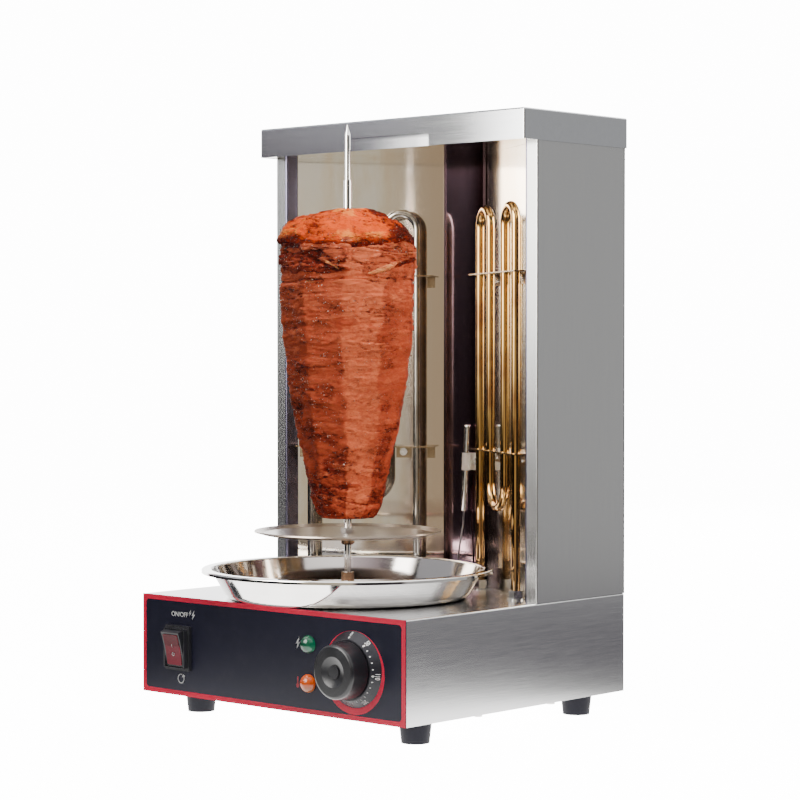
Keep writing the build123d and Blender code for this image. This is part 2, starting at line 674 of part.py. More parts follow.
def sensor_clip():
    """Plate screwed to the middle reflector, with a ring that holds the sensor."""
    low, high = clip_middle() - CLIP_HEIGHT / 2, clip_middle() + CLIP_HEIGHT / 2
    left = BULB_X - CLIP_LEFT
    plate = block(left, left + CLIP_WIDTH, BACK_FACE - SHEET, BACK_FACE, low, high)
    web = block(BULB_X - SHEET / 2, BULB_X + SHEET / 2, BACK_FACE - BULB_STANDOFF, BACK_FACE - SHEET,
                low, high)
    ring = tilted(upright_rod(BULB_RADIUS + SHEET, -CLIP_HEIGHT / 2, CLIP_HEIGHT / 2))
    hole = tilted(upright_rod(BULB_RADIUS, -CLIP_HEIGHT, CLIP_HEIGHT))
    clip = plate + web + ring - hole
    return clip - level_rod(SCREW_RADIUS, BACK_FACE - SHEET, BACK_FACE, clip_screw_x(), clip_middle())


def sensor_screw():
    """Screw of the sensor's clip."""
    return Pos(clip_screw_x(), BACK_FACE - SHEET, clip_middle()) * Rot(90, 0, 0) * screw()


def capillary_tube():
    """Fine tube from the sensor down through the base to the back of the thermostat."""
    start, lead = sensor_point(0), sensor_point(-CAPILLARY_LEAD)
    hole_x, hole_y = capillary_hole()
    body_rear = WALL_INSIDE + THERMOSTAT_DEPTH
    sway = (lead.X - CAPILLARY_SWAY, (lead.Y + hole_y) / 2, TOP + CAPILLARY_SWAY_HEIGHT)
    points = [tuple(start), tuple(lead), sway, (hole_x, hole_y, TOP + CAPILLARY_LEAD),
              (hole_x, hole_y, CONTROL_Z), (KNOB_X, hole_y, CONTROL_Z), (KNOB_X, body_rear, CONTROL_Z)]
    path = FilletPolyline(*points, radius=[CAPILLARY_BEND] * (len(points) - 2))
    section = Plane(origin=path @ 0, z_dir=path % 0) * Circle(CAPILLARY_RADIUS)
    return sweep(section, path=path)


# ------------------------------------------------------------ drive, spit

def shaft_bush():
    """Flanged bush in the top of the base, down into the gearbox."""
    bush = upright_rod(BUSH_RADIUS, TOP - BUSH_DEPTH, TOP)
    bush += upright_rod(BUSH_FLANGE_RADIUS, TOP, TOP + BUSH_FLANGE_HEIGHT)
    return bush - upright_rod(DRIVE_SHAFT_RADIUS + RUNNING, TOP - BUSH_DEPTH, TOP + BUSH_FLANGE_HEIGHT)


def gear_motor():
    """Gearbox with mounting ears and a round motor below it."""
    roof = TOP - SHEET
    floor = roof - GEARBOX_HEIGHT
    half = MOTOR_WIDTH / 2
    box = block(-half, half, -half, half, floor, roof)
    box = fillet(box.edges().filter_by(Axis.Z), MOTOR_EAR / 2)
    ears = block(-half - MOTOR_EAR, half + MOTOR_EAR, -MOTOR_EAR, MOTOR_EAR, roof - PLUG, roof)
    motor = box + ears + upright_rod(MOTOR_RADIUS, floor - MOTOR_HEIGHT, floor)
    motor -= upright_rod(BUSH_RADIUS, TOP - BUSH_DEPTH, roof)
    motor -= upright_rod(DRIVE_SHAFT_RADIUS + RUNNING, TOP - DRIVE_SHAFT_DEPTH - FIT, TOP - BUSH_DEPTH)
    for x, y in motor_studs():
        motor -= upright_rod(MOTOR_STUD_RADIUS, roof - PLUG, roof, x, y)
    return motor


def motor_fixings():
    """Studs under the top of the base with the nuts that hold the motor."""
    roof = TOP - SHEET
    seat = roof - PLUG
    nut_height = MOTOR_STUD_RADIUS * 2
    fixing = upright_rod(MOTOR_STUD_RADIUS, seat - nut_height - PLUG, roof)
    fixing += hexagon(MOTOR_NUT_WIDTH, seat - nut_height, seat, MOTOR_STUD_RADIUS)
    return [Pos(x, y, 0) * fixing for x, y in motor_studs()]


def drive_hub():
    """Output shaft with the square socket that turns the spit."""
    seat = TOP + BUSH_FLANGE_HEIGHT + FIT
    crown = TOP + HUB_HEIGHT
    hub = upright_rod(DRIVE_SHAFT_RADIUS, TOP - DRIVE_SHAFT_DEPTH, seat)
    hub += upright_rod(HUB_RADIUS, seat, crown)
    half = SOCKET_WIDTH / 2
    hub -= block(-half, half, -half, half, crown - SOCKET_DEPTH, crown)
    return hub


def skewer():
    """Spit rod: square tang, stepped rod and point."""
    tang = SOCKET_WIDTH / 2 - RUNNING * 2
    crown = TOP + HUB_HEIGHT
    rod = block(-tang, tang, -tang, tang, crown - SOCKET_DEPTH + FIT, crown)
    rod = rod + upright_rod(TANG_RADIUS, crown, TOP + DISC_HEIGHT - DISC_HUB_HEIGHT)
    rod += upright_rod(ROD_RADIUS, TOP + DISC_HEIGHT - DISC_HUB_HEIGHT, TOP + ROD_STEP)
    rod += upright_rod(ROD_THIN_RADIUS, TOP + ROD_STEP, TOP + ROD_TIP - ROD_POINT)
    point = Cone(ROD_THIN_RADIUS, ROD_TIP_RADIUS, ROD_POINT)
    return rod + Pos(0, 0, TOP + ROD_TIP - ROD_POINT / 2) * point


def spit_disc():
    """Plate that carries the meat, with a flared edge."""
    level = TOP + DISC_HEIGHT
    flat = DISC_RADIUS - DISC_FLARE_WIDTH
    section = folded([(ROD_RADIUS, level), (flat, level), (DISC_RADIUS, level + DISC_FLARE_RISE)],
                     DISC_THICKNESS)
    return turned(section)


def disc_hub():
    """Collar under the plate."""
    level = TOP + DISC_HEIGHT
    hub = upright_rod(DISC_HUB_RADIUS, level - DISC_HUB_HEIGHT, level)
    hub = chamfer(hub.edges().filter_by(GeomType.CIRCLE).group_by(Axis.Z)[0], DISC_HUB_CHAMFER)
    return hub - upright_rod(ROD_RADIUS, level - DISC_HUB_HEIGHT, level)


def disc_nut():
    """Nut on top of the plate, under the meat."""
    seat = TOP + DISC_HEIGHT + DISC_THICKNESS
    return hexagon(DISC_NUT_RADIUS * 2, seat, seat + DISC_NUT_HEIGHT, ROD_RADIUS)


def meat_stack():
    """Sliced meat pressed on the rod: narrow at the foot, widest at the shoulder, rounded on top."""
    low, high = TOP + MEAT_BOTTOM, TOP + MEAT_TOP
    under = MEAT_FOOT_RADIUS - MEAT_FOOT_ROUND / 2
    brow = high - MEAT_CROWN_HEIGHT
    side = Spline((MEAT_FOOT_RADIUS, low + MEAT_FOOT_ROUND), (MEAT_MIDDLE_RADIUS, low + MEAT_MIDDLE),
                  (MEAT_SHOULDER_RADIUS, low + MEAT_SHOULDER), (MEAT_SHOULDER_RADIUS, brow))
    crown = ThreePointArc((MEAT_SHOULDER_RADIUS, brow),
                          ((MEAT_SHOULDER_RADIUS + MEAT_CROWN_RADIUS) / 2, high - MEAT_CROWN_BULGE),
                          (MEAT_CROWN_RADIUS, high))
    foot_edge = ThreePointArc((under, low), ((under + MEAT_FOOT_RADIUS) / 2, low + MEAT_FOOT_ROUND / 3),
                              (MEAT_FOOT_RADIUS, low + MEAT_FOOT_ROUND))
    inside = Polyline((MEAT_CROWN_RADIUS, high), (ROD_RADIUS, high), (ROD_RADIUS, low), (under, low))
    return turned(make_face([*side.edges(), *crown.edges(), *inside.edges(), *foot_edge.edges()]))


def drip_pan():
    """Round pan with a rolled rim and a raised collar about the drive hub."""
    rim = TOP + PAN_HEIGHT - PAN_THICKNESS
    floor = TOP
    edge = PAN_RADIUS - PAN_THICKNESS
    path = [(PAN_COLLAR_RADIUS, floor + PAN_COLLAR_HEIGHT), (PAN_COLLAR_RADIUS, floor),
            (PAN_FLOOR_RADIUS, floor), (PAN_MOUTH_RADIUS, rim), (edge, rim), (edge, rim - PAN_EDGE)]
    return turned(folded(path, PAN_THICKNESS, [INNER_BEND, PAN_BEND, INNER_BEND * 3, INNER_BEND]))


# --------------------------------------------------------- control panel

def rounded_plate(width, height, corner, z0, z1):
    """Plate with rounded corners, square to Z."""
    return Pos(0, 0, z0) * extrude(RectangleRounded(width, height, corner), amount=z1 - z0)


def switch_opening():
    """Width and height of the opening that the rocker moves in."""
    shrink = 2 * (SWITCH_COLLAR_INSET + SWITCH_WALL)
    return SWITCH_WIDTH - shrink, SWITCH_HEIGHT - shrink + SWITCH_WALL


def switch_frame():
    """Flange and collar about the rocker, with bearings for its pins."""
    width, height = switch_opening()
    corner = SWITCH_COLLAR_INSET
    frame = rounded_plate(SWITCH_WIDTH, SWITCH_HEIGHT, corner, 0, SWITCH_FLANGE)
    frame += rounded_plate(SWITCH_WIDTH - 2 * SWITCH_COLLAR_INSET, SWITCH_HEIGHT - 2 * SWITCH_COLLAR_INSET,
                           corner, SWITCH_FLANGE, SWITCH_COLLAR)
    frame -= Pos(0, 0, SWITCH_COLLAR / 2) * Box(width, height, SWITCH_COLLAR)
    reach = width + 2 * (ROCKER_PIN_LENGTH + RUNNING)
    frame -= Pos(0, 0, ROCKER_PIVOT) * Rot(0, 90, 0) * Cylinder(ROCKER_PIN_RADIUS + RUNNING, reach)
    return facing(frame, SWITCH_X, CONTROL_Z)


def switch_body():
    """Moulded body behind the panel, hollow under the rocker, with four blade terminals."""
    width, height = switch_opening()
    outer_width = SWITCH_WIDTH - 2 * SWITCH_COLLAR_INSET
    outer_height = SWITCH_HEIGHT - 2 * SWITCH_COLLAR_INSET
    body = Pos(0, 0, -SWITCH_DEPTH / 2) * Box(outer_width, outer_height, SWITCH_DEPTH)
    body -= Pos(0, 0, -SWITCH_POCKET / 2) * Box(width, height, SWITCH_POCKET)
    for x in (-width / 4, width / 4):
        for y in (-height / 4, height / 4):
            body += Pos(x, y, -SWITCH_DEPTH - TERMINAL_LENGTH / 2) * Box(TERMINAL_WIDTH, SCREW_SLOT,
                                                                        TERMINAL_LENGTH)
    return facing(body, SWITCH_X, CONTROL_Z)


def rocker_outline(grow=0.0):
    """Side view of the rocker: ends struck about its pivot, and a hollow front face."""
    half = switch_opening()[1] / 2 - FIT
    face_half = math.sqrt(half ** 2 - ROCKER_FACE ** 2) + grow
    back_half = math.sqrt(half ** 2 - ROCKER_BACK ** 2) + grow
    top_end = ThreePointArc((face_half, ROCKER_FACE), (half + grow, 0), (back_half, -ROCKER_BACK))
    low_end = ThreePointArc((-back_half, -ROCKER_BACK), (-half - grow, 0), (-face_half, ROCKER_FACE))
    face = ThreePointArc((-face_half, ROCKER_FACE), (0, ROCKER_FACE - ROCKER_DISH), (face_half, ROCKER_FACE))
    back = Line((back_half, -ROCKER_BACK), (-back_half, -ROCKER_BACK))
    return make_face([*top_end.edges(), *back.edges(), *low_end.edges(), *face.edges()])


def in_switch(solid):
    """Puts a solid made about the pivot, level, into the switch with its lower end pressed in."""
    about_pivot = Rot(ROCKER_TILT, 0, 0) * solid
    return facing(Pos(0, 0, ROCKER_PIVOT) * about_pivot, SWITCH_X, CONTROL_Z)


def rocker_insert():
    """Red face of the rocker, before it is seated."""
    width, height = switch_opening()
    wide = width - 2 * (FIT + ROCKER_RIM)
    tall = height - 2 * (FIT + ROCKER_RIM) - FACE_SEAT
    insert = rounded_plate(wide, tall, ROCKER_RIM / 2, ROCKER_FACE - ROCKER_DISH - FACE_SEAT,
                           ROCKER_FACE + FACE_PROUD)
    hollow_radius = (tall ** 2 / 4 + ROCKER_DISH ** 2) / (2 * ROCKER_DISH)
    hollow = Pos(0, 0, ROCKER_FACE + FACE_PROUD - ROCKER_DISH + hollow_radius) * Rot(0, 90, 0) \
        * Cylinder(hollow_radius, wide)
    return insert - hollow


def rocker_body():
    """Black rocker with its two pins and the seat of its red face."""
    width = switch_opening()[0] - 2 * FIT
    body = extrude(Plane.YZ.offset(-width / 2) * rocker_outline(), amount=width)
    reach = width + 2 * (FIT + ROCKER_PIN_LENGTH)
    body += Rot(0, 90, 0) * Cylinder(ROCKER_PIN_RADIUS, reach)
    return in_switch(body - rocker_insert())


def rocker_face():
    """Red face of the rocker."""
    return in_switch(rocker_insert())


def lamp_lens():
    """Domed lens with a thin flange, along Z."""
    dome_radius = (LAMP_RADIUS ** 2 + LAMP_DOME ** 2) / (2 * LAMP_DOME)
    ball = Pos(0, 0, LAMP_FLANGE + LAMP_DOME - dome_radius) * Sphere(dome_radius)
    lens = ball & upright_rod(LAMP_RADIUS, LAMP_FLANGE, LAMP_FLANGE + LAMP_DOME)
    return lens + upright_rod(LAMP_RADIUS, 0, LAMP_FLANGE)


def lamp_stem():
    """Lamp holder behind the panel with its push-on clip."""
    stem = upright_rod(LAMP_STEM_RADIUS, -LAMP_STEM_LENGTH, 0)
    wall = PANEL_THICKNESS + SHEET
    return stem + upright_rod(LAMP_CLIP_RADIUS, -wall - LAMP_CLIP_HEIGHT, -wall)


def dial():
    """Conical ring under the knob that carries the scale."""
    section = make_face(Polyline((DIAL_RADIUS, 0), (DIAL_TOP_RADIUS, DIAL_HEIGHT),
                                 (DIAL_TOP_RADIUS - DIAL_WALL, DIAL_HEIGHT),
                                 (DIAL_RADIUS - 2 * DIAL_WALL, 0), close=True))
    return facing(turned(section), KNOB_X, CONTROL_Z)


def temperature_knob():
    """Tapered knob with a rounded edge, a dished face and a small centre cap."""
    rear = DIAL_HEIGHT + KNOB_GAP
    crown = rear + KNOB_LENGTH
    body = Pos(0, 0, (rear + crown) / 2) * Cone(KNOB_REAR_RADIUS, KNOB_FRONT_RADIUS, KNOB_LENGTH)
    body = fillet(body.edges().filter_by(GeomType.CIRCLE).group_by(Axis.Z)[-1], KNOB_ROUND)
    bowl = (KNOB_DISH_RADIUS ** 2 + KNOB_DISH_DEPTH ** 2) / (2 * KNOB_DISH_DEPTH)
    body -= Pos(0, 0, crown - KNOB_DISH_DEPTH + bowl) * Sphere(bowl)
    dish_floor = crown - KNOB_DISH_DEPTH
    body += upright_rod(KNOB_CAP_RADIUS, dish_floor - PLUG, dish_floor + KNOB_CAP_HEIGHT)
    body -= upright_rod(KNOB_SHAFT_RADIUS, rear, knob_shaft_end())
    return facing(body, KNOB_X, CONTROL_Z)


def knob_shaft_end():
    """Front end of the thermostat's shaft before the panel."""
    return DIAL_HEIGHT + KNOB_GAP + KNOB_LENGTH / 2


def thermostat_shaft():
    """Spindle that the knob turns."""
    inner = -PANEL_THICKNESS - SHEET - THERMOSTAT_DEPTH / 2
    return facing(upright_rod(KNOB_SHAFT_RADIUS, inner, knob_shaft_end()), KNOB_X, CONTROL_Z)


def thermostat_body():
    """Switch box of the thermostat with the threaded neck that goes through the panel."""
    seat = -PANEL_THICKNESS - SHEET
    body = block(-THERMOSTAT_WIDTH / 2, THERMOSTAT_WIDTH / 2, -THERMOSTAT_HEIGHT / 2, THERMOSTAT_HEIGHT / 2,
                 seat - THERMOSTAT_DEPTH, seat)
    body = fillet(body.edges().filter_by(Axis.Z), PLUG)
    body += upright_rod(NECK_RADIUS, seat, NECK_LENGTH)
    inner = seat - THERMOSTAT_DEPTH / 2 - FIT
    return facing(body - upright_rod(KNOB_SHAFT_RADIUS + RUNNING, inner, NECK_LENGTH), KNOB_X, CONTROL_Z)


# ------------------------------------------------------------ mains entry

def cord_gland():
    """Strain-relief body in the rear wall, open for the mains lead."""
    head = upright_rod(GLAND_RADIUS, 0, GLAND_LENGTH / 2)
    head += Pos(0, 0, GLAND_LENGTH * 3 / 4) * Cone(GLAND_RADIUS, GLAND_BODY_RADIUS, GLAND_LENGTH / 2)
    head += upright_rod(GLAND_BODY_RADIUS, -GLAND_INSIDE, 0)
    head -= upright_rod(GLAND_BORE, -GLAND_INSIDE, GLAND_LENGTH)
    return Pos(GLAND_X, REAR, BOTTOM + GLAND_HEIGHT) * Rot(-90, 0, 0) * head


def gland_nut():
    """Lock nut of the gland, inside the wall."""
    nut = hexagon(2 * GLAND_RADIUS, -SHEET - PLUG * 2, -SHEET, GLAND_BODY_RADIUS)
    return Pos(GLAND_X, REAR, BOTTOM + GLAND_HEIGHT) * Rot(-90, 0, 0) * nut


def terminal_block():
    """Where the mains lead would be joined to the inner wiring."""
    far = REAR - BLOCK_SETBACK
    right = GLAND_X - BLOCK_WIDTH / 2
    low, high = BOTTOM + SHEET, BOTTOM + SHEET + BLOCK_HEIGHT
    body = block(right - BLOCK_WIDTH, right, far - BLOCK_DEPTH, far, low, high)
    for pole in range(BLOCK_POLES):
        x = right - BLOCK_WIDTH * (pole + 0.5) / BLOCK_POLES
        body -= upright_rod(SCREW_RADIUS, high - PLUG, high, x, far - BLOCK_DEPTH / 2)
    return body


def main():
    """Builds and writes every node."""
    os.makedirs("parts", exist_ok=True)
    save("base_shell", base_shell())
    save("bottom_plate", bottom_plate())
    save("front_panel", front_panel())
    for node, (x, y) in FOOT_PLACES.items():
        save(node, foot(x, y))
    save("foot_screws", *foot_screws())
    save("bottom_screws", *bottom_screws())

    save("side_panel_right", side_panel())
    save("side_panel_left", mirrored(side_panel()))
    save("rear_panel", rear_panel())
    save("rear_panel_screws", *rear_panel_screws())
    save("reflector_right", reflector_wing())
    save("reflector_left", mirrored(reflector_wing()))
    save("reflector_back", reflector_back())
    save("ceiling_plate", ceiling_plate())
    save("top_cover", top_cover())
    save("cover_screws", *cover_screws())

    save("heating_element_right", heating_element())
    save("heating_element_left", mirrored(heating_element()))
    save("element_washers", *gland_washers())
    save("element_nuts", *gland_nuts())
    spacers = [element_spacer(height) for height in SPACER_HEIGHTS]
    save("element_spacers_right", *spacers)
    save("element_spacers_left", *[mirrored(spacer) for spacer in spacers])
    save("spacer_screws", *spacer_screws(), *[mirrored(piece) for piece in spacer_screws()])

    save("sensor_bulb", sensor_bulb())
    save("sensor_clip", sensor_clip())
    save("sensor_screw", sensor_screw())
    save("capillary_tube", capillary_tube())

    save("shaft_bush", shaft_bush())
    save("gear_motor", gear_motor())
    save("motor_fixings", *motor_fixings())
    save("drive_hub", drive_hub())
    save("skewer", skewer())
    save("spit_disc", spit_disc())
    save("disc_hub", disc_hub())
    save("disc_nut", disc_nut())
    save("meat_stack", meat_stack())
    save("drip_pan", drip_pan())

    save("switch_frame", switch_frame())
    save("switch_body", switch_body())
    save("rocker_body", rocker_body())
    save("rocker_face", rocker_face())
    upper, lower = lamp_heights()
    save("power_lamp", facing(lamp_lens(), LAMP_X, upper))
    save("heat_lamp", facing(lamp_lens(), LAMP_X, lower))
    save("lamp_holders", *[facing(lamp_stem(), LAMP_X, z) for z in lamp_heights()])
    save("dial", dial())
    save("temperature_knob", temperature_knob())
    save("thermostat_shaft", thermostat_shaft())
    save("thermostat_body", thermostat_body())

    save("cord_gland", cord_gland())
    save("gland_nut", gland_nut())
    save("terminal_block", terminal_block())


main()
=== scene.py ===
"""Looks of a vertical rotisserie oven: finishes, the stack of meat, the printed panel, light and camera.

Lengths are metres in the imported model's frame: +Z up, the origin on the worktop below the spit's axis,
-Y towards the user. Each sub-assembly is a class with its sizes as fields. A new piece is a grid of
points worked out as whole arrays, and a finish is a small class that builds one material.
"""

import logging
import math
from dataclasses import dataclass
from enum import Enum
from typing import Any, Callable, Iterable, Iterator, Sequence

import bpy
import numpy as np
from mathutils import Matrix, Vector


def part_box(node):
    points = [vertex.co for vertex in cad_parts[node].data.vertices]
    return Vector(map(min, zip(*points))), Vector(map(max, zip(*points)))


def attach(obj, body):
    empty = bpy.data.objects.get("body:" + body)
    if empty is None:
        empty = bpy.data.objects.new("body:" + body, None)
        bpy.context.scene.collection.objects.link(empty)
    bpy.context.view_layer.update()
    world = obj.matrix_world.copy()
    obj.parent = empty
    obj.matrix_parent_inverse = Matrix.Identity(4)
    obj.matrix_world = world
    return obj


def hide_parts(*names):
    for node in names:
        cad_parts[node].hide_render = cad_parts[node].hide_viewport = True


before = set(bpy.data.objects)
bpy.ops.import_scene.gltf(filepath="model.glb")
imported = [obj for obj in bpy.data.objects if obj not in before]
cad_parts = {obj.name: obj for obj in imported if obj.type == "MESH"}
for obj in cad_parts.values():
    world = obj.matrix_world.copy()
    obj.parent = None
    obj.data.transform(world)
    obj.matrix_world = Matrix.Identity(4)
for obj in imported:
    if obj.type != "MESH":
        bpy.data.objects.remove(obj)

LOG = logging.getLogger("rotisserie")
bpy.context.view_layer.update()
MILLI = 0.001
TURN = 2 * math.pi

Array = np.ndarray
Piece = bpy.types.Object
Material = bpy.types.Material
Socket = bpy.types.NodeSocket
Colour = tuple[float, float, float]
Point = tuple[float, float, float]

WHITE: Colour = (1.0, 1.0, 1.0)
BLUR = 0.0005  # half width of a soft edge between two tones of a finish


# ---- shader maths

def node_maths(operation: str, swapped: bool = False) -> "Callable[[Shade, Shade | float], Shade]":
    """Method that joins a shade and another value in a Math node; swapped, the other value comes first."""
    def method(self: "Shade", other: "Shade | float") -> "Shade":
        """Adds the node."""
        return self.graph.math(operation, *((other, self) if swapped else (self, other)))
    return method


@dataclass(frozen=True)
class Shade:
    """A number that varies over a surface, so that node maths reads as plain arithmetic."""

    graph: "Graph"
    socket: Socket

    __add__ = __radd__ = node_maths("ADD")
    __sub__, __rsub__ = node_maths("SUBTRACT"), node_maths("SUBTRACT", swapped=True)
    __mul__ = __rmul__ = node_maths("MULTIPLY")
    __truediv__ = node_maths("DIVIDE")
    __pow__ = node_maths("POWER")

    def __abs__(self) -> "Shade":
        """Size without its sign."""
        return self.graph.math("ABSOLUTE", self)

    def between(self, low: float, high: float) -> "Shade":
        """Smooth step from 0 at low to 1 at high.

        Args:
            low: Value that gives 0.
            high: Value that gives 1; it may be below low for a falling step.

        Returns:
            The stepped value.
        """
        if high < low:
            return 1 - self.between(high, low)
        made = self.graph.node("MapRange", {"interpolation_type": "SMOOTHSTEP"},
                               {"Value": self, "From Min": low, "From Max": high})
        return Shade(self.graph, made.outputs["Result"])


class Graph:
    """Node tree of one material or of the room's world, with the coordinates that its patterns follow."""

    def __init__(self, name: str, world: bpy.types.World | None = None) -> None:
        """Starts an empty material, or empties a world's tree.

        Args:
            name: Name of the finish.
            world: World to build in place of a material.
        """
        self.material = world or bpy.data.materials.new(name)
        self.material.use_nodes = True
        self.tree = self.material.node_tree
        self.tree.nodes.clear()
        self.place = self.node("TexCoord").outputs["Generated" if world else "Object"]

    def node(self, kind: str, settings: dict[str, Any] | None = None,
             inputs: dict[Any, Any] | None = None) -> bpy.types.Node:
        """Adds a node.

        Args:
            kind: Type of the node, without its "ShaderNode".
            settings: Its own properties.
            inputs: Values or links of its sockets, by name or number.

        Returns:
            The node.
        """
        made = self.tree.nodes.new("ShaderNode" + kind)
        for key, value in (settings or {}).items():
            setattr(made, key, value)
        for key, value in (inputs or {}).items():
            self.feed(made.inputs[key], value)
        return made

    def feed(self, socket: Socket, value: Any) -> None:
        """Sets a socket from a number, a colour, another socket or a shade."""
        source = value.socket if isinstance(value, Shade) else value
        if isinstance(source, Socket):
            self.tree.links.new(source, socket)
        elif socket.type == "RGBA" and len(source) == 3:
            socket.default_value = (*source, 1.0)
        else:
            socket.default_value = source

    def math(self, operation: str, *values: Shade | float) -> Shade:
        """Adds a Math node on its values."""
        made = self.node("Math", {"operation": operation}, dict(enumerate(values)))
        return Shade(self, made.outputs[0])

    def stretched(self, x: float = 1.0, y: float = 1.0, z: float = 1.0) -> Socket:
        """Object coordinates scaled along each axis, so that a small factor draws a pattern out."""
        return self.node("Mapping", {}, {"Vector": self.place, "Scale": (x, y, z)}).outputs[0]

    def axes(self) -> tuple[Shade, Shade, Shade]:
        """Object coordinates as three numbers."""
        made = self.node("SeparateXYZ", {}, {0: self.place})
        return tuple(Shade(self, socket) for socket in made.outputs)

    def reach(self) -> Shade:
        """Distance from the upright line through the origin."""
        x, y, _ = self.axes()
        return self.math("SQRT", x ** 2 + y ** 2)

    def noise(self, scale: float, detail: float = 3.0, roughness: float = 0.5,
              at: Socket | None = None, distortion: float = 0.0) -> Shade:
        """Soft noise from 0 to 1.

        Args:
            scale: Cells per metre, before any stretch.
            detail: Octaves.
            roughness: Weight of each finer octave.
            at: Coordinates, or the object's own.
            distortion: Swirl of the pattern.

        Returns:
            The noise value.
        """
        made = self.node("TexNoise", {}, {
            "Vector": at or self.place, "Scale": scale, "Detail": detail, "Roughness": roughness,
            "Distortion": distortion})
        return Shade(self, made.outputs[0])

    def attribute(self, name: str) -> Shade:
        """A number that the piece's mesh holds at each point."""
        made = self.node("Attribute", {"attribute_name": name})
        return Shade(self, made.outputs["Fac"])

    def mix(self, factor: Shade | float, first: Any, second: Any) -> Socket:
        """Colour between two others: a factor of 0 gives the first and 1 the second."""
        return self.node("Mix", {"data_type": "RGBA"}, {0: factor, 6: first, 7: second}).outputs[2]

    def bump(self, height: Shade, distance: float, strength: float = 1.0) -> Socket:
        """Normal of a surface raised by a pattern from 0 to 1, whose whole range is a distance in metres."""
        made = self.node("Bump", {}, {"Height": height, "Distance": distance, "Strength": strength})
        return made.outputs["Normal"]

    def surface(self, **inputs: Any) -> Material:
        """Ends the tree in a Principled shader; an underscore in a name stands for a space."""
        named = {key.replace("_", " "): value for key, value in inputs.items()}
        shader = self.node("BsdfPrincipled", {}, named)
        output = self.node("OutputMaterial")
        self.tree.links.new(shader.outputs["BSDF"], output.inputs["Surface"])
        return self.material


# ---- finishes

class Grain(Enum):
    """Direction in which a sheet was brushed, as the stretch of its streaks."""

    LEVEL_X = (0.012, 1.0, 1.0)
    LEVEL_Y = (1.0, 0.012, 1.0)
    UPRIGHT = (1.0, 1.0, 0.012)


@dataclass(frozen=True)
class BrushedSteel:
    """Brushed stainless sheet: fine streaks, cloudy wear and a faint wave.

    Nearer the middle plane than inner_edge it has its inner tone, a painted shade. A band is the half width,
    the top and the back of a strip that is left satin and painted lighter as a highlight.
    """

    grain: Grain = Grain.UPRIGHT
    light: Colour = (0.66, 0.66, 0.65)
    dark: Colour = (0.54, 0.54, 0.54)
    roughness: float = 0.30
    spread: float = 0.12
    streaks_per_metre: float = 2600.0
    buckle: float = 0.0
    inner_edge: float | None = None
    painted_shade_tone: Colour = (0.19, 0.175, 0.25)
    relief: float = 0.0000012
    band: Point | None = None
    painted_highlight_tone: Colour = (0.80, 0.80, 0.81)
    band_rise: float = 0.14
    band_fade: float = 0.0045

    def build(self, name: str) -> Material:
        """Makes the material."""
        graph = Graph(name)
        along = graph.stretched(*self.grain.value)
        streak = graph.noise(self.streaks_per_metre, 2.0, 0.6, along)
        broad = graph.noise(self.streaks_per_metre / 9, 2.0, 0.5, along)
        cloud = graph.noise(9.0, 3.0)
        wave = graph.noise(6.0, 1.0)
        x, y, z = graph.axes()
        tone = streak * 0.8 + broad * 0.2
        colour = graph.mix(tone.between(0.3, 0.7), self.dark, self.light)
        rough = self.roughness + (tone - 0.5) * self.spread + (cloud - 0.5) * 0.06
        # Painted shade: nearer the middle plane the sheet's inner return is darkened.
        if self.inner_edge:
            inside = abs(x).between(self.inner_edge + BLUR, self.inner_edge)
            colour = graph.mix(inside, colour, self.painted_shade_tone)
        # Painted highlight: the band is painted lighter, and made rougher as satin.
        if self.band:
            wide, top, back = self.band
            satin_and_painted_highlight = (abs(x).between(wide + BLUR, wide - BLUR) * z.between(top + BLUR, top - self.band_fade)
                     * y.between(back + BLUR, back - BLUR) * x.between(-wide, wide))
            colour = graph.mix(satin_and_painted_highlight, colour, self.painted_highlight_tone)
            rough = rough + satin_and_painted_highlight * self.band_rise
        return graph.surface(
            Base_Color=colour, Metallic=1.0, Anisotropic=0.35, Roughness=rough,
            Normal=graph.bump(streak * self.relief + wave * self.buckle, 1.0))


@dataclass(frozen=True)
class MirrorSteel:
    """Bright steel that is nearly a mirror, with rolling waves, faint scratches and heat tint.

    Its darkening rises across a span of X, and its hem begins at a distance from the middle plane. On the
    back reflector the dark base tones, the darkening and the hem are painted shade and painted dark
    reflection.
    """

    light: Colour = (0.86, 0.84, 0.80)
    tint: Colour = (0.80, 0.70, 0.56)
    roughness: float = 0.07
    haze: float = 0.06
    wave_depth: float = 0.0005
    wave_scale: float = 7.0
    darkening: Colour = (0.30, 0.07, 0.06)
    span: tuple[float, float] | None = None
    hem: float | None = None
    hem_painted_shade: Colour = (0.018, 0.010, 0.011)

    def build(self, name: str) -> Material:
        """Makes the material."""
        graph = Graph(name)
        wave = graph.noise(self.wave_scale, 1.0)
        smear = graph.noise(38.0, 4.0, 0.6, graph.stretched(z=0.25))
        scratch = graph.noise(2400.0, 1.0, 0.5, graph.stretched(x=0.02))
        colour = graph.mix(smear.between(0.35, 0.75), self.light, self.tint)
        across = graph.axes()[0]
        if self.span:
            colour = graph.mix((across + (smear - 0.5) * 0.01).between(*self.span), colour, self.darkening)
        # Painted shade: beyond the hem distance the sheet is darkened.
        if self.hem:
            colour = graph.mix(abs(across).between(self.hem, self.hem + 2 * BLUR), colour, self.hem_painted_shade)
        return graph.surface(
            Base_Color=colour, Metallic=1.0,
            Roughness=self.roughness + smear * self.haze + (scratch - 0.5) * 0.03,
            Normal=graph.bump(wave, self.wave_depth))


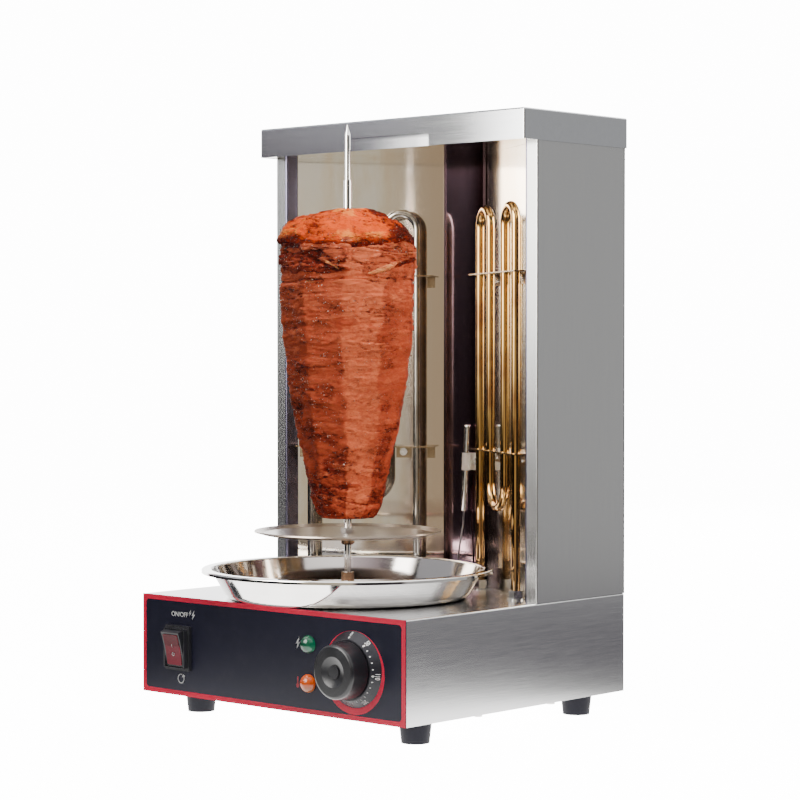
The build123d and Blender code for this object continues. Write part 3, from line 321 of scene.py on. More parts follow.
@dataclass(frozen=True)
class TurnedSteel:
    """Polished steel with rings left by spinning or turning about the upright axis.

    Within its mouth's radius, faces that look up have the inside's darker tone, a painted shade.
    """

    light: Colour = (0.90, 0.88, 0.85)
    dark: Colour = (0.74, 0.72, 0.69)
    roughness: float = 0.06
    rings_per_metre: float = 1500.0
    mouth: float | None = None
    inside: Colour = (0.40, 0.37, 0.35)

    def build(self, name: str) -> Material:
        """Makes the material."""
        graph = Graph(name)
        radius = graph.reach()
        around = graph.node("CombineXYZ", {}, {0: radius, 1: 0.0, 2: graph.axes()[2]}).outputs[0]
        ring = graph.noise(self.rings_per_metre, 2.0, 0.6, around)
        smear = graph.noise(30.0, 4.0, 0.6)
        colour = graph.mix((ring * 0.5 + smear * 0.5).between(0.3, 0.7), self.dark, self.light)
        # Painted shade: faces that look up inside the mouth are darkened.
        if self.mouth:
            normal = graph.node("NewGeometry").outputs["Normal"]
            upward = Shade(graph, graph.node("SeparateXYZ", {}, {0: normal}).outputs[2])
            within = upward.between(0.02, 0.10) * radius.between(self.mouth, self.mouth - 2 * BLUR)
            colour = graph.mix(within, colour, self.inside)
        return graph.surface(
            Base_Color=colour, Metallic=1.0, Roughness=self.roughness + ring * 0.05 + smear * 0.05,
            Normal=graph.bump(ring, 0.000008, 0.6))


@dataclass(frozen=True)
class HeatedTube:
    """Heating tube: grey steel at its feet, tinted straw and bronze where it glows."""

    cool: Colour = (0.36, 0.35, 0.34)
    straw: Colour = (0.40, 0.36, 0.31)
    bronze: Colour = (0.22, 0.18, 0.15)
    hot_from: float = 0.11
    hot_to: float = 0.19
    roughness: float = 0.13

    def build(self, name: str) -> Material:
        """Makes the material."""
        graph = Graph(name)
        z = graph.axes()[2]
        patch = graph.noise(22.0, 3.0, 0.5)
        scratch = graph.noise(900.0, 2.0, 0.6, graph.stretched(z=0.05))
        heat = (z + (patch - 0.5) * 0.05).between(self.hot_from, self.hot_to)
        tinted = graph.mix(patch.between(0.42, 0.72), self.straw, self.bronze)
        return graph.surface(
            Base_Color=graph.mix(heat * 0.9, self.cool, tinted),
            Metallic=1.0,
            Roughness=self.roughness + patch * 0.06 + (scratch - 0.5) * 0.05,
            Normal=graph.bump(scratch, 0.000008, 0.5))


@dataclass(frozen=True)
class Moulded:
    """Moulded or painted surface: one colour with fine texture, faint dust and soft wear."""

    colour: Colour = (0.012, 0.012, 0.015)
    worn: Colour = (0.035, 0.035, 0.040)
    roughness: float = 0.38
    spread: float = 0.12
    grain_scale: float = 2600.0
    grain_depth: float = 0.00003
    coat: float = 0.0
    shine: float = 0.5

    def build(self, name: str) -> Material:
        """Makes the material."""
        graph = Graph(name)
        grain = graph.noise(self.grain_scale, 2.0, 0.6)
        wear = graph.noise(60.0, 5.0, 0.65)
        return graph.surface(
            Base_Color=graph.mix(wear.between(0.45, 0.85), self.colour, self.worn),
            Roughness=self.roughness + (wear - 0.5) * self.spread + (grain - 0.5) * 0.05,
            Coat_Weight=self.coat, Coat_Roughness=0.08, Specular_IOR_Level=self.shine,
            Normal=graph.bump(grain, self.grain_depth))


@dataclass(frozen=True)
class Lens:
    """Tinted lamp lens: deeper at its middle, paler where light gathers near its lower edge."""

    deep: Colour = (0.0, 0.11, 0.05)
    pale: Colour = (0.10, 0.45, 0.26)
    middle_z: float = 0.05
    reach: float = 0.0075
    ribs: float = 420.0
    glow: float = 0.0

    def build(self, name: str) -> Material:
        """Makes the material."""
        graph = Graph(name)
        z = graph.axes()[2]
        low = ((self.middle_z - z) / self.reach).between(-0.1, 0.75)
        rib = graph.noise(self.ribs, 1.0, 0.5)
        colour = graph.mix(low * 0.8 + (rib - 0.5) * 0.2, self.deep, self.pale)
        return graph.surface(
            Base_Color=colour, Roughness=0.10 + rib * 0.06, Coat_Weight=0.15, Coat_Roughness=0.03,
            Specular_IOR_Level=0.3, Emission_Color=colour, Emission_Strength=self.glow,
            Transmission_Weight=0.15, IOR=1.49, Normal=graph.bump(rib, 0.00005))


@dataclass(frozen=True)
class RockerRed:
    """Translucent red rocker: dark towards its upper end, milky where light falls on it."""

    dark: Colour = (0.16, 0.003, 0.012)
    milky: Colour = (0.36, 0.045, 0.070)
    middle_z: float = 0.057
    fold: float = 0.0062
    fold_blur: float = 0.0016

    def build(self, name: str) -> Material:
        """Makes the material."""
        graph = Graph(name)
        z = graph.axes()[2]
        low = (self.middle_z - z).between(-self.fold - self.fold_blur, self.fold_blur - self.fold)
        cloud = graph.noise(160.0, 3.0)
        return graph.surface(
            Base_Color=graph.mix(low * 0.85 + cloud * 0.15, self.dark, self.milky),
            Roughness=0.26 + cloud * 0.08, Coat_Weight=0.04, Coat_Roughness=0.05, Specular_IOR_Level=0.08,
            Normal=graph.bump(cloud, 0.00004))


@dataclass(frozen=True)
class Ink:
    """Screen-printed ink with a slightly uneven coat."""

    colour: Colour = (0.85, 0.85, 0.83)
    thin: Colour = (0.70, 0.70, 0.69)
    roughness: float = 0.42

    def build(self, name: str) -> Material:
        """Makes the material."""
        graph = Graph(name)
        cover = graph.noise(700.0, 3.0, 0.6)
        return graph.surface(
            Base_Color=graph.mix(cover.between(0.45, 0.8), self.colour, self.thin),
            Roughness=self.roughness + (cover - 0.5) * 0.12, Specular_IOR_Level=0.2,
            Normal=graph.bump(cover, 0.00001))


@dataclass(frozen=True)
class RoastMeat:
    """Sliced roast: fibres across, browned patches, pale fat in the seams and wet glints. Painted shade
    darkens the brown, and the glints are partly painted into the colour as pale specks.

    The piece's mesh holds a browning attribute that also carries painted shade, and "fat", "pale" and "wet",
    each about 0 to 1, as its slices decide.
    """

    raw: Colour = (0.42, 0.062, 0.025)
    tan: Colour = (0.72, 0.160, 0.066)
    brown: Colour = (0.150, 0.014, 0.007)
    fat_colour: Colour = (1.0, 0.42, 0.15)
    burnt: Colour = (0.030, 0.006, 0.004)
    painted_glint: Colour = (0.95, 0.72, 0.58)

    def build(self, name: str) -> Material:
        """Makes the material."""
        graph = Graph(name)
        browned_and_painted_shade, fat, pale, wet = (graph.attribute(key) for key in ("browned_and_painted_shade", "fat", "pale", "wet"))
        across = graph.stretched(z=3.0)
        fibre = graph.noise(260.0, 4.0, 0.65, across, 0.6)
        thread = graph.noise(640.0, 2.0, 0.6, graph.stretched(z=4.5))
        mottle = graph.noise(120.0, 5.0, 0.65, graph.stretched(z=1.7), 0.9)
        blotch = graph.noise(38.0, 4.0, 0.6, graph.stretched(z=1.4), 0.8)
        speck = graph.noise(620.0, 2.0, 0.6)
        ridge = abs(graph.noise(80.0, 4.0, 0.6, across, 1.0) - 0.5)
        crack = ridge.between(0.030, 0.004) * blotch.between(0.42, 0.58)
        tone = pale + (mottle - 0.5) * 1.5 + (thread - 0.5) * 0.9 + (fibre - 0.5) * 1.1
        warm = graph.mix(tone.between(-0.05, 1.05), self.raw, self.tan)
        # The browning attribute also carries painted shade at the foot, in creases, along slice edges and
        # under folds and the cap, so the brown and burnt tones paint shade as well as browning; cracks darken
        # as char and painted shade.
        darkening = browned_and_painted_shade + (mottle - 0.5) * 1.7 + (blotch - 0.5) * 2.2 + (fibre - 0.5) * 1.6
        seared_and_painted_shade = graph.mix(darkening.between(0.12, 1.15), warm, self.brown)
        fatty = graph.mix((fat + (fibre - 0.5) * 1.4 + (mottle - 0.5) * 1.0).between(0.38, 1.0), seared_and_painted_shade,
                          self.fat_colour)
        charred_and_painted_shade = browned_and_painted_shade * 0.5 + (speck - 0.5) * 1.1 + (mottle - 0.5) * 1.4 + crack * 0.6
        colour = graph.mix(charred_and_painted_shade.between(0.46, 0.80) * 0.85, fatty, self.burnt)
        # Painted glints: pale specks are painted into the colour where the coat also gives real glints.
        glint = speck.between(0.645, 0.70) * blotch.between(0.40, 0.6) * wet
        height = fibre * 0.35 + mottle * 0.40 + thread * 0.10 + speck * 0.15 - crack * 0.45
        return graph.surface(
            Base_Color=graph.mix(glint * 0.85, colour, self.painted_glint), Roughness=0.60 - glint * 0.42,
            Subsurface_Weight=0.06, Subsurface_Radius=(1.0, 0.35, 0.2), Subsurface_Scale=0.0015,
            Coat_Weight=glint * 0.8, Coat_Roughness=0.12, Specular_IOR_Level=0.02,
            Normal=graph.bump(height, 0.0021, 1.0))


Finish = BrushedSteel | MirrorSteel | TurnedSteel | HeatedTube | Moulded | Lens | RockerRed | Ink | RoastMeat
Dressing = dict[str, tuple[Finish, Sequence[str]]]


# ---- mesh code

def value_noise(around: Array, along: Array, cells: tuple[int, int], seed: int) -> Array:
    """Smooth noise that closes on itself around a turn.

    A lattice of seeded random values is read between its corners with the weight 3t^2 - 2t^3.

    Args:
        around: Shares of a turn.
        along: Shares of the length, 0 to 1.
        cells: Lattice cells around and along.
        seed: Seed of the lattice.

    Returns:
        Values from 0 to 1, shaped as the inputs.
    """
    lattice = np.random.default_rng(seed).random((cells[0], cells[1] + 2))
    u, v = np.broadcast_arrays((around % 1.0) * cells[0], np.clip(along, 0, 1) * cells[1])
    i, j = np.floor(u).astype(int) % cells[0], np.floor(v).astype(int)
    s, t = u - np.floor(u), v - np.floor(v)
    s, t = s * s * (3 - 2 * s), t * t * (3 - 2 * t)
    k = (i + 1) % cells[0]
    low = lattice[i, j] * (1 - s) + lattice[k, j] * s
    high = lattice[i, j + 1] * (1 - s) + lattice[k, j + 1] * s
    return low * (1 - t) + high * t


def layered_noise(around: Array, along: Array, cells: tuple[int, int], seed: int,
                  octaves: int = 4) -> Array:
    """Sum of value noises, each twice as fine and half as strong as the last, scaled to 0 to 1."""
    total, weight, size = 0.0, 0.0, 1.0
    for octave in range(octaves):
        step = 2 ** octave
        total = total + size * value_noise(around, along, (cells[0] * step, cells[1] * step), seed + octave)
        weight, size = weight + size, size / 2
    return total / weight


def smooth(value: Array, low: float, high: float) -> Array:
    """Smooth step 3t^2 - 2t^3 from low to high."""
    t = np.clip((value - low) / (high - low), 0, 1)
    return t * t * (3 - 2 * t)


def on_circle(angle: Array | float) -> Array:
    """Points of the unit circle at angles in radians."""
    return np.stack([np.cos(angle), np.sin(angle)], -1)


def circle(count: int) -> Array:
    """Points spread evenly round the unit circle."""
    return on_circle(np.arange(count) / count * TURN)


def linked(name: str, data: bpy.types.ID) -> Piece:
    """New object in the scene that holds some data."""
    made = bpy.data.objects.new(name, data)
    bpy.context.scene.collection.objects.link(made)
    return made


def turned(points: Array, angle: float) -> Array:
    """Plane points turned about the origin, counter-clockwise by an angle in radians."""
    across, up = points[:, 0], points[:, 1]
    return np.stack([across * math.cos(angle) - up * math.sin(angle),
                     across * math.sin(angle) + up * math.cos(angle)], -1)


def grid(columns: int, rows: Array) -> tuple[Array, Array]:
    """Angles of a whole turn from -pi, beside a value for each row, both rows x columns."""
    angle = (np.arange(columns) / columns - 0.5) * TURN
    return np.broadcast_arrays(angle[None, :], rows[:, None])


class Builder:
    """Turns arrays of points into pieces that ride on a body."""

    @staticmethod
    def mesh(name: str, points: Array, faces: Array,
             layers: dict[str, Array] | None = None, smooth_shaded: bool = True) -> Piece:
        """Puts points and faces into a mesh object at the origin.

        Args:
            name: Piece's name.
            points: N x 3 array.
            faces: M x 3 or M x 4 array of point numbers.
            layers: Numbers at each point, by name.
            smooth_shaded: Whether the faces are shaded smooth.

        Returns:
            The new object.
        """
        data = bpy.data.meshes.new(name)
        data.vertices.add(len(points))
        data.vertices.foreach_set("co", np.ascontiguousarray(points, dtype=np.float32).ravel())
        corners = faces.shape[1]
        data.loops.add(faces.size)
        data.loops.foreach_set("vertex_index", np.ascontiguousarray(faces, dtype=np.int32).ravel())
        data.polygons.add(len(faces))
        data.polygons.foreach_set("loop_start", np.arange(0, faces.size, corners, dtype=np.int32))
        data.polygons.foreach_set("use_smooth", np.full(len(faces), smooth_shaded))
        data.update(calc_edges=True)
        data.validate()
        for key, values in (layers or {}).items():
            layer = data.attributes.new(key, "FLOAT", "POINT")
            layer.data.foreach_set("value", np.ascontiguousarray(values, dtype=np.float32).ravel())
        return linked(name, data)

    @staticmethod
    def tube_faces(rows: int, columns: int, closed_rows: bool = False) -> Array:
        """Quads of a grid whose columns close on themselves.

        Args:
            rows: Points along.
            columns: Points around.
            closed_rows: Whether the last row joins the first too.

        Returns:
            M x 4 array of point numbers.
        """
        top = rows if closed_rows else rows - 1
        i, j = np.meshgrid(np.arange(top), np.arange(columns), indexing="ij")
        k, n = (i + 1) % rows, (j + 1) % columns
        corners = (i * columns + j, i * columns + n, k * columns + n, k * columns + j)
        return np.stack(corners, -1).reshape(-1, 4)

    @staticmethod
    def halves(quads: Array) -> Array:
        """Quads as triangles."""
        return np.concatenate([quads[:, [0, 1, 2]], quads[:, [0, 2, 3]]])

    @staticmethod
    def fan(columns: int, tip: int, first: int = 0) -> Array:
        """Triangles from a closed ring of points, numbered from first, to a tip."""
        j = np.arange(columns)
        return np.stack([first + j, first + (j + 1) % columns, np.full(columns, tip)], -1)

    @staticmethod
    def dress(piece: Piece, material: Material, body: str, slot: str) -> None:
        """Gives a new piece its material and body, and reports it."""
        piece.data.materials.clear()
        piece.data.materials.append(material)
        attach(piece, body)
        LOG.info("%s: %d faces, rides on %s", piece.name, len(piece.data.polygons), body)


def dress_nodes(material: Material, nodes: Iterable[str]) -> None:
    """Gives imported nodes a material, by their names."""
    for name in nodes:
        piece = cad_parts[name]
        if not piece.material_slots:
            piece.data.materials.append(material)
        for holder in piece.material_slots:
            holder.material = material
        LOG.info("%s: %s", name, material.name)


def middle_of(node: str) -> Array:
    """Middle of a node's box."""
    low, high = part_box(node)
    return (np.array(low) + np.array(high)) / 2


# ---- meat on the spit

@dataclass(frozen=True)
class Slice:
    """End of a slice or fold in the stack: an ellipse about a turn and a height, raised and toned.

    Turns and half widths are degrees, heights millimetres, the slant millimetres of height per degree.
    """

    turn: float
    level: float
    wide: float
    tall: float
    slant: float
    rise: float
    browned_and_painted_shade: float
    fat: float
    pale: float
    wet: float = 0.5


@dataclass
class MeatStack:
    """Slices of meat pressed on the spit: a shaved body, a folded shoulder and a fatty slice on top.

    Angles are turns from the direction that faces the viewer, positive to the viewer's right. A grid is the
    points around and along a piece. Each flap of the top slice is a turn and a width in radians, and how far
    it reaches out and hangs lower.
    """

    facing: float = math.radians(-47.4)
    shoulder: float = 0.0572
    taper: float = 0.032
    taper_share: float = 0.72
    crease: float = 0.3725
    crown: float = 0.398
    body_top: float = 0.4265
    rod_radius: float = 0.0032
    overlap: float = 0.0005
    tuck: float = 0.05
    slice_count: int = 170
    flat_blend: float = 90.0
    flat_ragged: float = 0.032
    flat_sharpness: float = 170.0
    body_grid: tuple[int, int] = (380, 250)
    shoulder_grid: tuple[int, int] = (440, 100)
    cap_grid: tuple[int, int] = (330, 120)
    cap_reach: float = 0.0562
    cap_drop: float = 0.0125
    cap_dome: float = 0.0145
    flaps: Sequence[tuple[float, float, float, float]] = (
        (-1.38, 0.30, 0.0042, -0.0020), (1.05, 0.22, 0.0005, -0.0040), (0.05, 0.5, 0.0010, 0.0050))
    shave_angles: Sequence[float] = (-92, -56, -20, 17, 51, 86, 122, 158, -164, -128)
    shave_depths: Sequence[float] = (0.985, 0.970, 0.968, 0.964, 0.968, 0.985, 0.97, 0.975, 0.97, 0.975)
    shave_tones: Sequence[tuple[float, float, float]] = (
        (0.38, 0.17, 0.7), (0.26, 0.26, 0.9), (0.24, 0.36, 0.9), (-0.10, 0.78, 0.25), (0.12, 0.30, 0.25),
        (0.30, 0.10, 0.3), (0.10, 0.60, 0.4), (0.40, 0.20, 0.8), (0.10, 0.50, 0.4), (0.35, 0.20, 0.7))
    # Sunk folds, with a negative rise, are browned dark: browning together with painted shade in their
    # recesses.
    folds: Sequence[Slice] = (
        Slice(-46, 393.5, 34, 9.0, -0.20, -1.4, 0.95, 0.0, 0.0, 0.7),
        Slice(-52, 397.0, 20, 2.4, -0.05, 0.8, 0.35, 0.0, 0.3, 0.9),
        Slice(-66, 388.0, 26, 6.0, -0.03, 1.3, 0.62, 0.0, 0.1, 1.0),
        Slice(-33, 381.0, 44, 4.6, -0.07, 1.3, 0.75, 0.0, 0.1, 1.0),
        Slice(27, 385.5, 20, 7.5, 0.22, 1.2, 0.42, 0.05, 0.60),
        Slice(17, 394.5, 13, 9.0, 0.28, 2.2, -0.25, 0.14, 1.50),
        Slice(-14, 384.6, 11, 3.2, -0.55, 2.2, 0.0, 0.78, 0.8),
        Slice(-8, 392.0, 12, 10.0, -0.32, 3.0, 0.50, 0.10, 0.55, 1.0),
        Slice(-22, 386.0, 22, 2.2, -0.42, -1.2, 1.10, 0.0, 0.0, 0.4),
        Slice(36, 382.0, 17, 2.6, 0.34, 1.5, 0.1, 0.62, 0.8, 0.2),
        Slice(56, 396.0, 24, 10.0, 0.0, 1.5, 0.38, 0.35, 0.3),
        Slice(60, 386.5, 16, 2.4, 0.25, -0.8, 0.95, 0.0, 0.0),
        Slice(100, 390.0, 26, 11.0, -0.08, 1.8, 0.5, 0.2, 0.5),
        Slice(140, 386.0, 24, 9.0, 0.12, 2.4, 0.2, 0.5, 0.8),
        Slice(178, 391.0, 22, 11.0, 0.05, 2.0, 0.8, 0.1, 0.3),
        Slice(-142, 386.0, 26, 9.0, -0.1, 2.5, 0.1, 0.3, 0.9),
        Slice(-104, 392.0, 20, 9.0, 0.1, 1.6, 0.6, 0.3, 0.4))
    slot: str = "roast_meat"
    body: str = "spit"

    def __post_init__(self) -> None:
        """Takes the stack's foot and top from its solid."""
        low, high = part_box("meat_stack")
        self.low, self.high = low[2], high[2]
        self.tall = self.high - self.low

    def silhouette(self, height: Array) -> Array:
        """Radius before shaving: shoulder - taper * (1 - share / taper_share)^1.75, and a round crown.

        Args:
            height: Heights above the worktop.

        Returns:
            Radii in metres.
        """
        share = (height - self.low) / self.tall
        radius = self.shoulder - self.taper * np.clip(1 - share / self.taper_share, 0, 1) ** 1.75
        rising = np.clip((height - self.crown) / (self.body_top - self.crown), 0, 1)
        foot = np.clip(1 - share / 0.035, 0, 1)
        return radius * np.sqrt(1 - 0.97 * rising ** 1.7) * (1 - 0.13 * foot ** 2.2)

    def flats(self, angle: Array, height: Array) -> tuple[Array, Array, Array]:
        """Knife flats, each a line at depth d from the axis: its radius at angle a is d / cos(a - flat).

        The flats meet in a soft minimum, and their edges wander with height.

        Args:
            angle: Angles in radians.
            height: Heights above the worktop.

        Returns:
            Factor on the radius, how browned each point is, and its paleness and wetness as a last axis.
        """
        wander = np.radians(4) * np.sin(height * 33 + 0.4) + np.radians(2.5) * np.sin(height * 171)
        cuts = []
        for flat, depth in zip(self.shave_angles, self.shave_depths):
            away = np.angle(np.exp(1j * (angle - math.radians(flat) - wander * (flat > 0) * (flat < 60))))
            cuts.append(depth / np.maximum(np.cos(away), 0.2))
        stack = np.stack(cuts)
        factor = -np.log(np.exp(-stack * self.flat_blend).sum(0)) / self.flat_blend
        ragged = layered_noise(angle / TURN + 0.5, (height - self.low) / self.tall, (60, 90), 91, 3) - 0.5
        side = np.sign(np.sin(np.arange(len(cuts)) * 2.0 + 0.5))[:, None, None]
        sharp = np.exp(-(stack - stack.min(0) + self.flat_ragged * ragged * side) * self.flat_sharpness)
        weights = sharp / sharp.sum(0)
        tones = np.tensordot(weights, np.array(self.shave_tones), axes=(0, 0))
        return factor, tones[..., 0], tones[..., 1:]

    @staticmethod
    def masks(slices: Iterable[Slice], angle: Array, height: Array,
              ragged: Array) -> Iterator[tuple[Slice, Array, Array]]:
        """Each slice with its share 1 - (turn / wide)^2 - (height / tall)^2 of every point, and its edge.

        Args:
            slices: The slices.
            angle: Angles in radians.
            height: Heights above the worktop.
            ragged: Noise from 0 to 1 that tears the edges.

        Yields:
            The slice, its share from 0 to 1, and 1 along its edge.
        """
        for one in slices:
            turn = np.degrees(np.angle(np.exp(1j * (angle - math.radians(one.turn)))))
            level = height / MILLI - one.level - one.slant * turn
            inside = 1 - (turn / one.wide) ** 2 - (level / one.tall) ** 2 + (ragged - 0.5) * 2.2
            share = smooth(inside, 0.0, 0.42)
            yield one, share, 4 * share * (1 - share)

    def scattered(self) -> list[Slice]:
        """Many low slices all over the body, from one seeded draw of each field in turn."""
        draw = np.random.default_rng(7)
        kinds = ((draw.uniform, -180, 180), (draw.uniform, 172, 371), (draw.uniform, 6, 24),
                 (draw.uniform, 1.4, 5.0), (draw.normal, 0, 0.07), (draw.uniform, -0.5, 0.8),
                 (draw.normal, 0, 0.22), (draw.normal, -0.05, 0.14), (draw.normal, 0, 0.16))
        rows = np.stack([kind(first, second, self.slice_count) for kind, first, second in kinds], -1)
        return [Slice(*map(float, row)) for row in rows]

    def surface(self, angle: Array, height: Array) -> tuple[Array, dict[str, Array]]:
        """Radius and tones of the stack.

        Radius = silhouette * flats + lumps + slices + fibres - creases, with each slice raised by its own
        rise inside its ellipse.

        Args:
            angle: Angles in radians.
            height: Heights above the worktop.

        Returns:
            Radii, and the tones by name.
        """
        share = (height - self.low) / self.tall
        around = angle / TURN + 0.5
        ragged = layered_noise(around, share, (36, 70), 71, 3)
        layers = layered_noise(around, share + 0.01 * np.sin(angle * 2), (6, 46), 11, 4)
        fibres = layered_noise(around, share, (44, 150), 23, 2)
        lumps = layered_noise(around, share, (9, 14), 37, 3)
        seam = np.exp(-((layers - 0.5) / 0.022) ** 2) * smooth(lumps, 0.42, 0.6)
        rim = np.exp(-((layers - 0.56) / 0.022) ** 2) * smooth(lumps, 0.40, 0.6)
        factor, browned_and_painted_shade, rest = self.flats(angle, height)
        pale, wet = rest[..., 0], rest[..., 1]
        radius = self.silhouette(height) * factor
        radius = radius + (lumps - 0.5) * 0.0030 + (layers - 0.5) * 0.0024 + (fibres - 0.5) * 0.0014
        fat = 0.0 * radius
        # Slice edges are browned darker: browning together with painted shade.
        for one, mask, edge in self.masks(self.scattered(), angle, height, ragged):
            radius = radius + (one.rise * mask - 0.25 * edge) * MILLI
            browned_and_painted_shade = browned_and_painted_shade + one.browned_and_painted_shade * mask + 0.10 * edge
            fat, pale = fat + one.fat * mask, pale + one.pale * mask
        for one, mask, edge in self.masks(self.folds, angle, height, ragged):
            radius = radius + (one.rise * mask - 0.7 * edge) * MILLI
            browned_and_painted_shade = browned_and_painted_shade * (1 - mask) + one.browned_and_painted_shade * mask + 0.35 * edge
            fat = fat * (1 - mask) + one.fat * mask
            pale = pale * (1 - mask) + one.pale * mask
            wet = wet * (1 - mask) + one.wet * mask
        groove = self.crease + 0.0016 * np.sin(angle * 2 + 0.5) + 0.0009 * np.sin(angle * 7)
        crease = np.exp(-((height - groove) / 0.0011) ** 2)
        radius = radius - 0.0015 * crease * smooth(lumps, 0.3, 0.5) - 0.0013 * seam
        # Darker in the crease and seams, browning together with painted shade, and darker towards the foot as
        # painted shade; paler towards the top.
        browned_and_painted_shade = browned_and_painted_shade + 0.5 * crease + 0.55 * seam - 0.15 * rim + 0.62 * smooth(-share, -0.45, 0.0)
        pale = pale + 0.45 * rim + 0.25 * smooth(share, 0.45, 0.85) - 0.15
        return radius, {"browned_and_painted_shade": browned_and_painted_shade, "fat": fat, "pale": pale, "wet": np.clip(wet, 0, 1)}

    def wrap(self, radius: Array, angle: Array, height: Array) -> Array:
        """Points at radii and angles about the spit."""
        turn = angle + self.facing
        return np.stack([radius * np.cos(turn), radius * np.sin(turn), height + 0 * radius], -1)

    def closed(self, name: str, points: Array, layers: dict[str, Array]) -> Piece:
        """Closes a stack of rings with a point at each end and makes its mesh."""
        rows, columns = points.shape[:2]
        count = rows * columns
        ends = np.array([points[0].mean(0), points[-1].mean(0)])
        triangles = np.concatenate([Builder.halves(Builder.tube_faces(rows, columns)),
                                    Builder.fan(columns, count)[:, [1, 0, 2]],
                                    Builder.fan(columns, count + 1, count - columns)])
        values = {key: np.concatenate([value.ravel(), [value[0].mean(), value[-1].mean()]])
                  for key, value in layers.items()}
        return Builder.mesh(name, np.concatenate([points.reshape(-1, 3), ends]), triangles, values)

    def drum(self, name: str, low: float, high: float, columns: int, rows: int) -> Piece:
        """Part of the stack between two heights, its ends drawn in so that they lie inside their neighbour.

        Args:
            name: Piece's name.
            low: Lowest height.
            high: Highest height.
            columns: Points around.
            rows: Points up.

        Returns:
            The piece.
        """
        angle, height = grid(columns, np.linspace(low, high, rows))
        radius, layers = self.surface(angle, height)
        foot = (height - low < 1e-9) * (low > self.low + 1e-6)
        head = (high - height < 1e-9) * (high < self.body_top)
        return self.closed(name, self.wrap(radius * (1 - self.tuck * (foot + head)), angle, height), layers)

    def cap(self) -> Piece:
        """Fatty slice on top: a dome whose ragged rim droops and turns under.

        A closed section runs out over the dome, round the rim and back beneath. With u the share of the
        reach, the dome's height is top - dome * u^1.5 - d u^8, where the last drop d, the reach and the
        thickness wander round the stack.

        Returns:
            The piece.
        """
        columns, rows = self.cap_grid
        angle, section = grid(columns, np.arange(rows) / rows)
        around, level = angle / TURN + 0.5, 0.5 + 0 * angle
        ragged = layered_noise(around, level, (13, 1), 5, 4) - 0.5
        torn = layered_noise(around, level, (41, 1), 9, 3) - 0.5
        thick = 0.0050 + 0.0030 * layered_noise(around, level, (11, 1), 15, 2)
        reach, drop = self.cap_reach, self.cap_drop
        for turn, wide, longer, lower in self.flaps:
            bell = np.exp(-((angle - turn) / wide) ** 2)
            reach, drop = reach + longer * bell, drop + lower * bell
        reach = reach + ragged * 0.0050 + torn * 0.0032
        drop = drop + ragged * 0.006
        over = section < 0.5
        travel = np.where(over, section * 2, (1 - section) * 2)
        share = np.sin(travel * math.pi / 2)
        lumps = layered_noise(around, travel * 0.9, (12, 7), 51, 4)
        flakes = layered_noise(around + 0.05 * travel, travel * 0.9, (9, 5), 81, 4)
        ledges = smooth(flakes, 0.47, 0.50) + smooth(flakes, 0.60, 0.63) + smooth(flakes, 0.36, 0.39)
        lips = sum(np.exp(-((flakes - lip) / 0.012) ** 2) for lip in (0.375, 0.485, 0.615))
        creases = layered_noise(around, travel * 0.5 + 0.1, (16, 4), 61, 3)
        fold = np.exp(-((creases - 0.5) / 0.03) ** 2) * smooth(travel, 0.25, 0.6)
        dome = self.high - self.cap_dome * share ** 1.5 - drop * share ** 8
        inland = travel < 0.97
        top = dome + ((lumps - 0.5) * 0.0065 * np.sin(travel * 3.0) - fold * 0.0012) * inland
        top = top + (ledges - 1.5) * 0.0011 * smooth(travel, 0.08, 0.3) * inland
        bottom = dome - thick * np.sqrt(np.clip(1 - travel ** 6, 0, 1))
        radius = self.rod_radius + (reach - self.rod_radius) * share
        points = self.wrap(radius, angle, np.where(over, top, bottom)).reshape(-1, 3)
        edge = smooth(travel, 0.72, 1.0)
        side = smooth(angle, 0.50, 1.0) * smooth(-angle, -2.2, -1.6)
        # Browner at the rim, in creases and at ledge lips, with painted shade in the creases; the underside
        # is dark, browning together with painted shade under the cap.
        browned_and_painted_shade = 0.10 + 0.65 * edge * smooth(lumps, 0.32, 0.62) + 0.35 * fold + 0.55 * lips
        browned_and_painted_shade = browned_and_painted_shade + side * (0.80 + 0.50 * smooth(lumps, 0.4, 0.7)) + 0.35 * smooth(-angle, 0.5, 1.3)
        browned_and_painted_shade = np.where(over, browned_and_painted_shade + 0.45 * smooth(-travel, -0.30, -0.08), 0.95)
        fat = np.where(over, 0.80 * smooth(lumps, 0.40, 0.66) * (1 - 0.6 * edge) * (1 - 0.8 * side), 0.0)
        layers = {"browned_and_painted_shade": browned_and_painted_shade, "fat": fat, "pale": 0.50 - 0.4 * edge, "wet": 0.35 + 0 * fat}
        return Builder.mesh("meat_cap", points, Builder.tube_faces(rows, columns, closed_rows=True), layers)

    def build(self) -> None:
        """Makes the body, the shoulder and the cap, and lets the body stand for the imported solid."""
        roast = RoastMeat().build("roast_meat")
        crisp = RoastMeat((0.66, 0.060, 0.007), (0.98, 0.130, 0.012), (0.15, 0.011, 0.004),
                          (1.0, 0.27, 0.045)).build("roast_cap")
        body = self.drum("meat_body", self.low, self.crease + self.overlap, *self.body_grid)
        shoulder = self.drum("meat_shoulder", self.crease - self.overlap, self.body_top, *self.shoulder_grid)
        for piece, finish in ((body, roast), (shoulder, roast), (self.cap(), crisp)):
            Builder.dress(piece, finish, self.body, self.slot)
            piece.visible_glossy = False
        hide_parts("meat_stack")


# ---- printed panel

